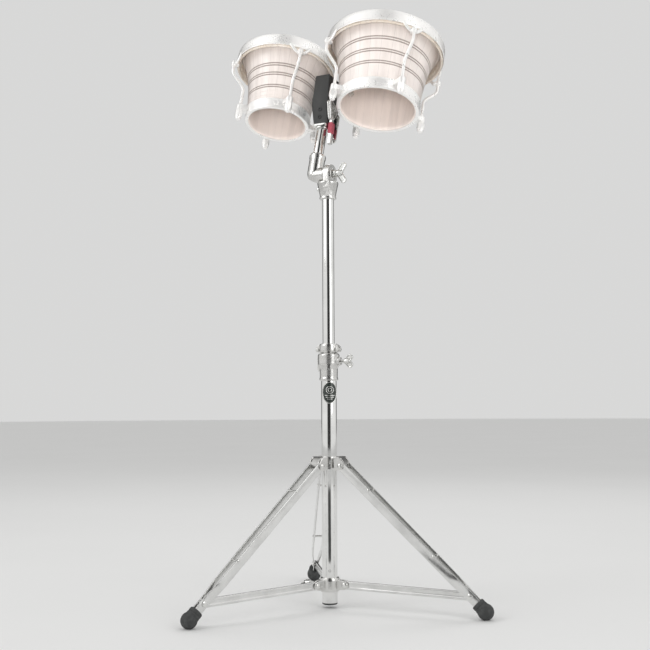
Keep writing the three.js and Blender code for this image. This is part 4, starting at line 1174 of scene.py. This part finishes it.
def build_world():
    """Pale room. Mirrors also see a dark gap between the softboxes in front, and a greyer room behind."""
    world = bpy.data.worlds.new("studio")
    bpy.context.scene.world = world
    world.use_nodes = True
    tree = world.node_tree
    links = tree.links

    def add(kind, **settings):
        node = tree.nodes.new(kind)
        for key, value in settings.items():
            setattr(node, key, value)
        return node

    flat = add("ShaderNodeVectorMath", operation="MULTIPLY")
    flat.inputs[1].default_value = (1, 1, 0)
    links.new(add("ShaderNodeTexCoord").outputs["Generated"], flat.inputs[0])
    unit = add("ShaderNodeVectorMath", operation="NORMALIZE")
    links.new(flat.outputs[0], unit.inputs[0])
    toward = add("ShaderNodeVectorMath", operation="DOT_PRODUCT")
    toward.inputs[1].default_value = (math.sin(CAMERA_TURN), -math.cos(CAMERA_TURN), 0)
    links.new(unit.outputs[0], toward.inputs[0])
    ramp = add("ShaderNodeValToRGB")
    links.new(add_range(tree, toward.outputs["Value"]), ramp.inputs[0])
    stops = ((0.0, 0.1), (0.11, 0.16), (0.2, 0.62), (0.3, 0.95), (0.7, 1.0), (0.925, 0.98), (0.95, 0.86),
        (0.972, 0.06), (1.0, 0.04))
    ramp.color_ramp.elements[0].position = stops[0][0]
    ramp.color_ramp.elements[1].position = stops[-1][0]
    for place, _ in stops[1:-1]:
        ramp.color_ramp.elements.new(place)
    for element, (_, level) in zip(ramp.color_ramp.elements, stops):
        element.color = (level, level, level * 0.99, 1)
    path = add("ShaderNodeLightPath")
    mix = add("ShaderNodeMix", data_type="RGBA")
    links.new(path.outputs["Is Glossy Ray"], mix.inputs[0])
    mix.inputs[6].default_value = (0.8, 0.8, 0.795, 1)
    links.new(ramp.outputs[0], mix.inputs[7])
    background = tree.nodes["Background"]
    links.new(mix.outputs[2], background.inputs["Color"])
    background.inputs["Strength"].default_value = 0.86


def add_range(tree, value):
    node = tree.nodes.new("ShaderNodeMapRange")
    node.inputs["From Min"].default_value = -1
    tree.links.new(value, node.inputs["Value"])
    return node.outputs["Result"]


def softbox(name, place, aim, size, power, spread=180, mirrored=True):
    data = bpy.data.lights.new(name, "AREA")
    data.shape = "RECTANGLE"
    data.size, data.size_y = size
    data.energy = power
    data.spread = math.radians(spread)
    light = bpy.data.objects.new(name, data)
    light.location = place
    light.visible_glossy = mirrored
    light.rotation_euler = (Vector(aim) - Vector(place)).to_track_quat("-Z", "Y").to_euler()
    bpy.context.scene.collection.objects.link(light)


def build_floor():
    look = Look("floor_paper", (0.7, 0.7, 0.695), 0.75)
    tone = look.noise(1.4, 4)
    look.color(look.blend(tone, (0.82, 0.82, 0.815), (0.86, 0.86, 0.855)))
    look.bump(look.noise(500, 2), 0.05, 0.0005)
    bm = bmesh.new()
    rings = [[bm.verts.new((r * math.cos(math.radians(a)), r * math.sin(math.radians(a)),
        -0.0002)) for a in range(0, 360, 5)] for r in (0.4, 2, 8, 24)]
    for inner, outer in zip(rings, rings[1:]):
        for i in range(len(inner)):
            j = (i + 1) % len(inner)
            bm.faces.new((inner[i], outer[i], outer[j], inner[j]))
    bm.faces.new(rings[0])
    mesh = bpy.data.meshes.new("studio_floor")
    bm.to_mesh(mesh)
    bm.free()
    mesh.materials.append(look.material)
    floor = bpy.data.objects.new("studio_floor", mesh)
    bpy.context.scene.collection.objects.link(floor)


def build_dark_card():
    """Black card on the floor in front, seen in the mirrors only: it carries the dark gap down the tube."""
    look = Look("card_black", (0.04, 0.04, 0.04), 0.9)
    look.color(look.blend(look.noise(9, 3), (0.035, 0.035, 0.035), (0.05, 0.05, 0.05)))
    middle, spread = CAMERA_TURN - math.pi / 2, math.radians(20)
    bm = bmesh.new()
    corners = [(r, middle + k * spread) for r, k in ((0.36, -1), (2.6, -1), (2.6, 1), (0.36, 1))]
    bm.faces.new([bm.verts.new((r * math.cos(a), r * math.sin(a), 0.0004)) for r, a in corners])
    mesh = bpy.data.meshes.new("dark_card")
    bm.to_mesh(mesh)
    bm.free()
    mesh.materials.append(look.material)
    card = bpy.data.objects.new("dark_card", mesh)
    card.visible_camera = card.visible_diffuse = card.visible_shadow = card.visible_transmission = False
    bpy.context.scene.collection.objects.link(card)


def build_studio():
    build_camera()
    build_world()
    build_floor()
    build_dark_card()
    softbox("key_left", (-1.9, -2.2, 2.3), (0, 0, 0.7), (1.4, 2.2), 23)
    softbox("fill_right", (2.6, -0.9, 1.6), (0, 0, 0.7), (1.2, 2.2), 14)
    softbox("back_top", (-0.4, 2.2, 2.6), (0, 0, 0.8), (2.2, 1.2), 13)
    softbox("front_low", (0.75, -1.8, 0.4), (0, 0, 1.02), (1.0, 0.6), 1.9, spread=44, mirrored=False)
    bpy.context.scene.view_settings.view_transform = "Standard"


build_studio()
build_column()
build_collar()
build_hub()
for count, heading in enumerate(LEG_ANGLES):
    build_leg(count + 1, heading)
build_height_lock()
build_tilter()
build_mount()
for each in DRUMS:
    build_drum(each)
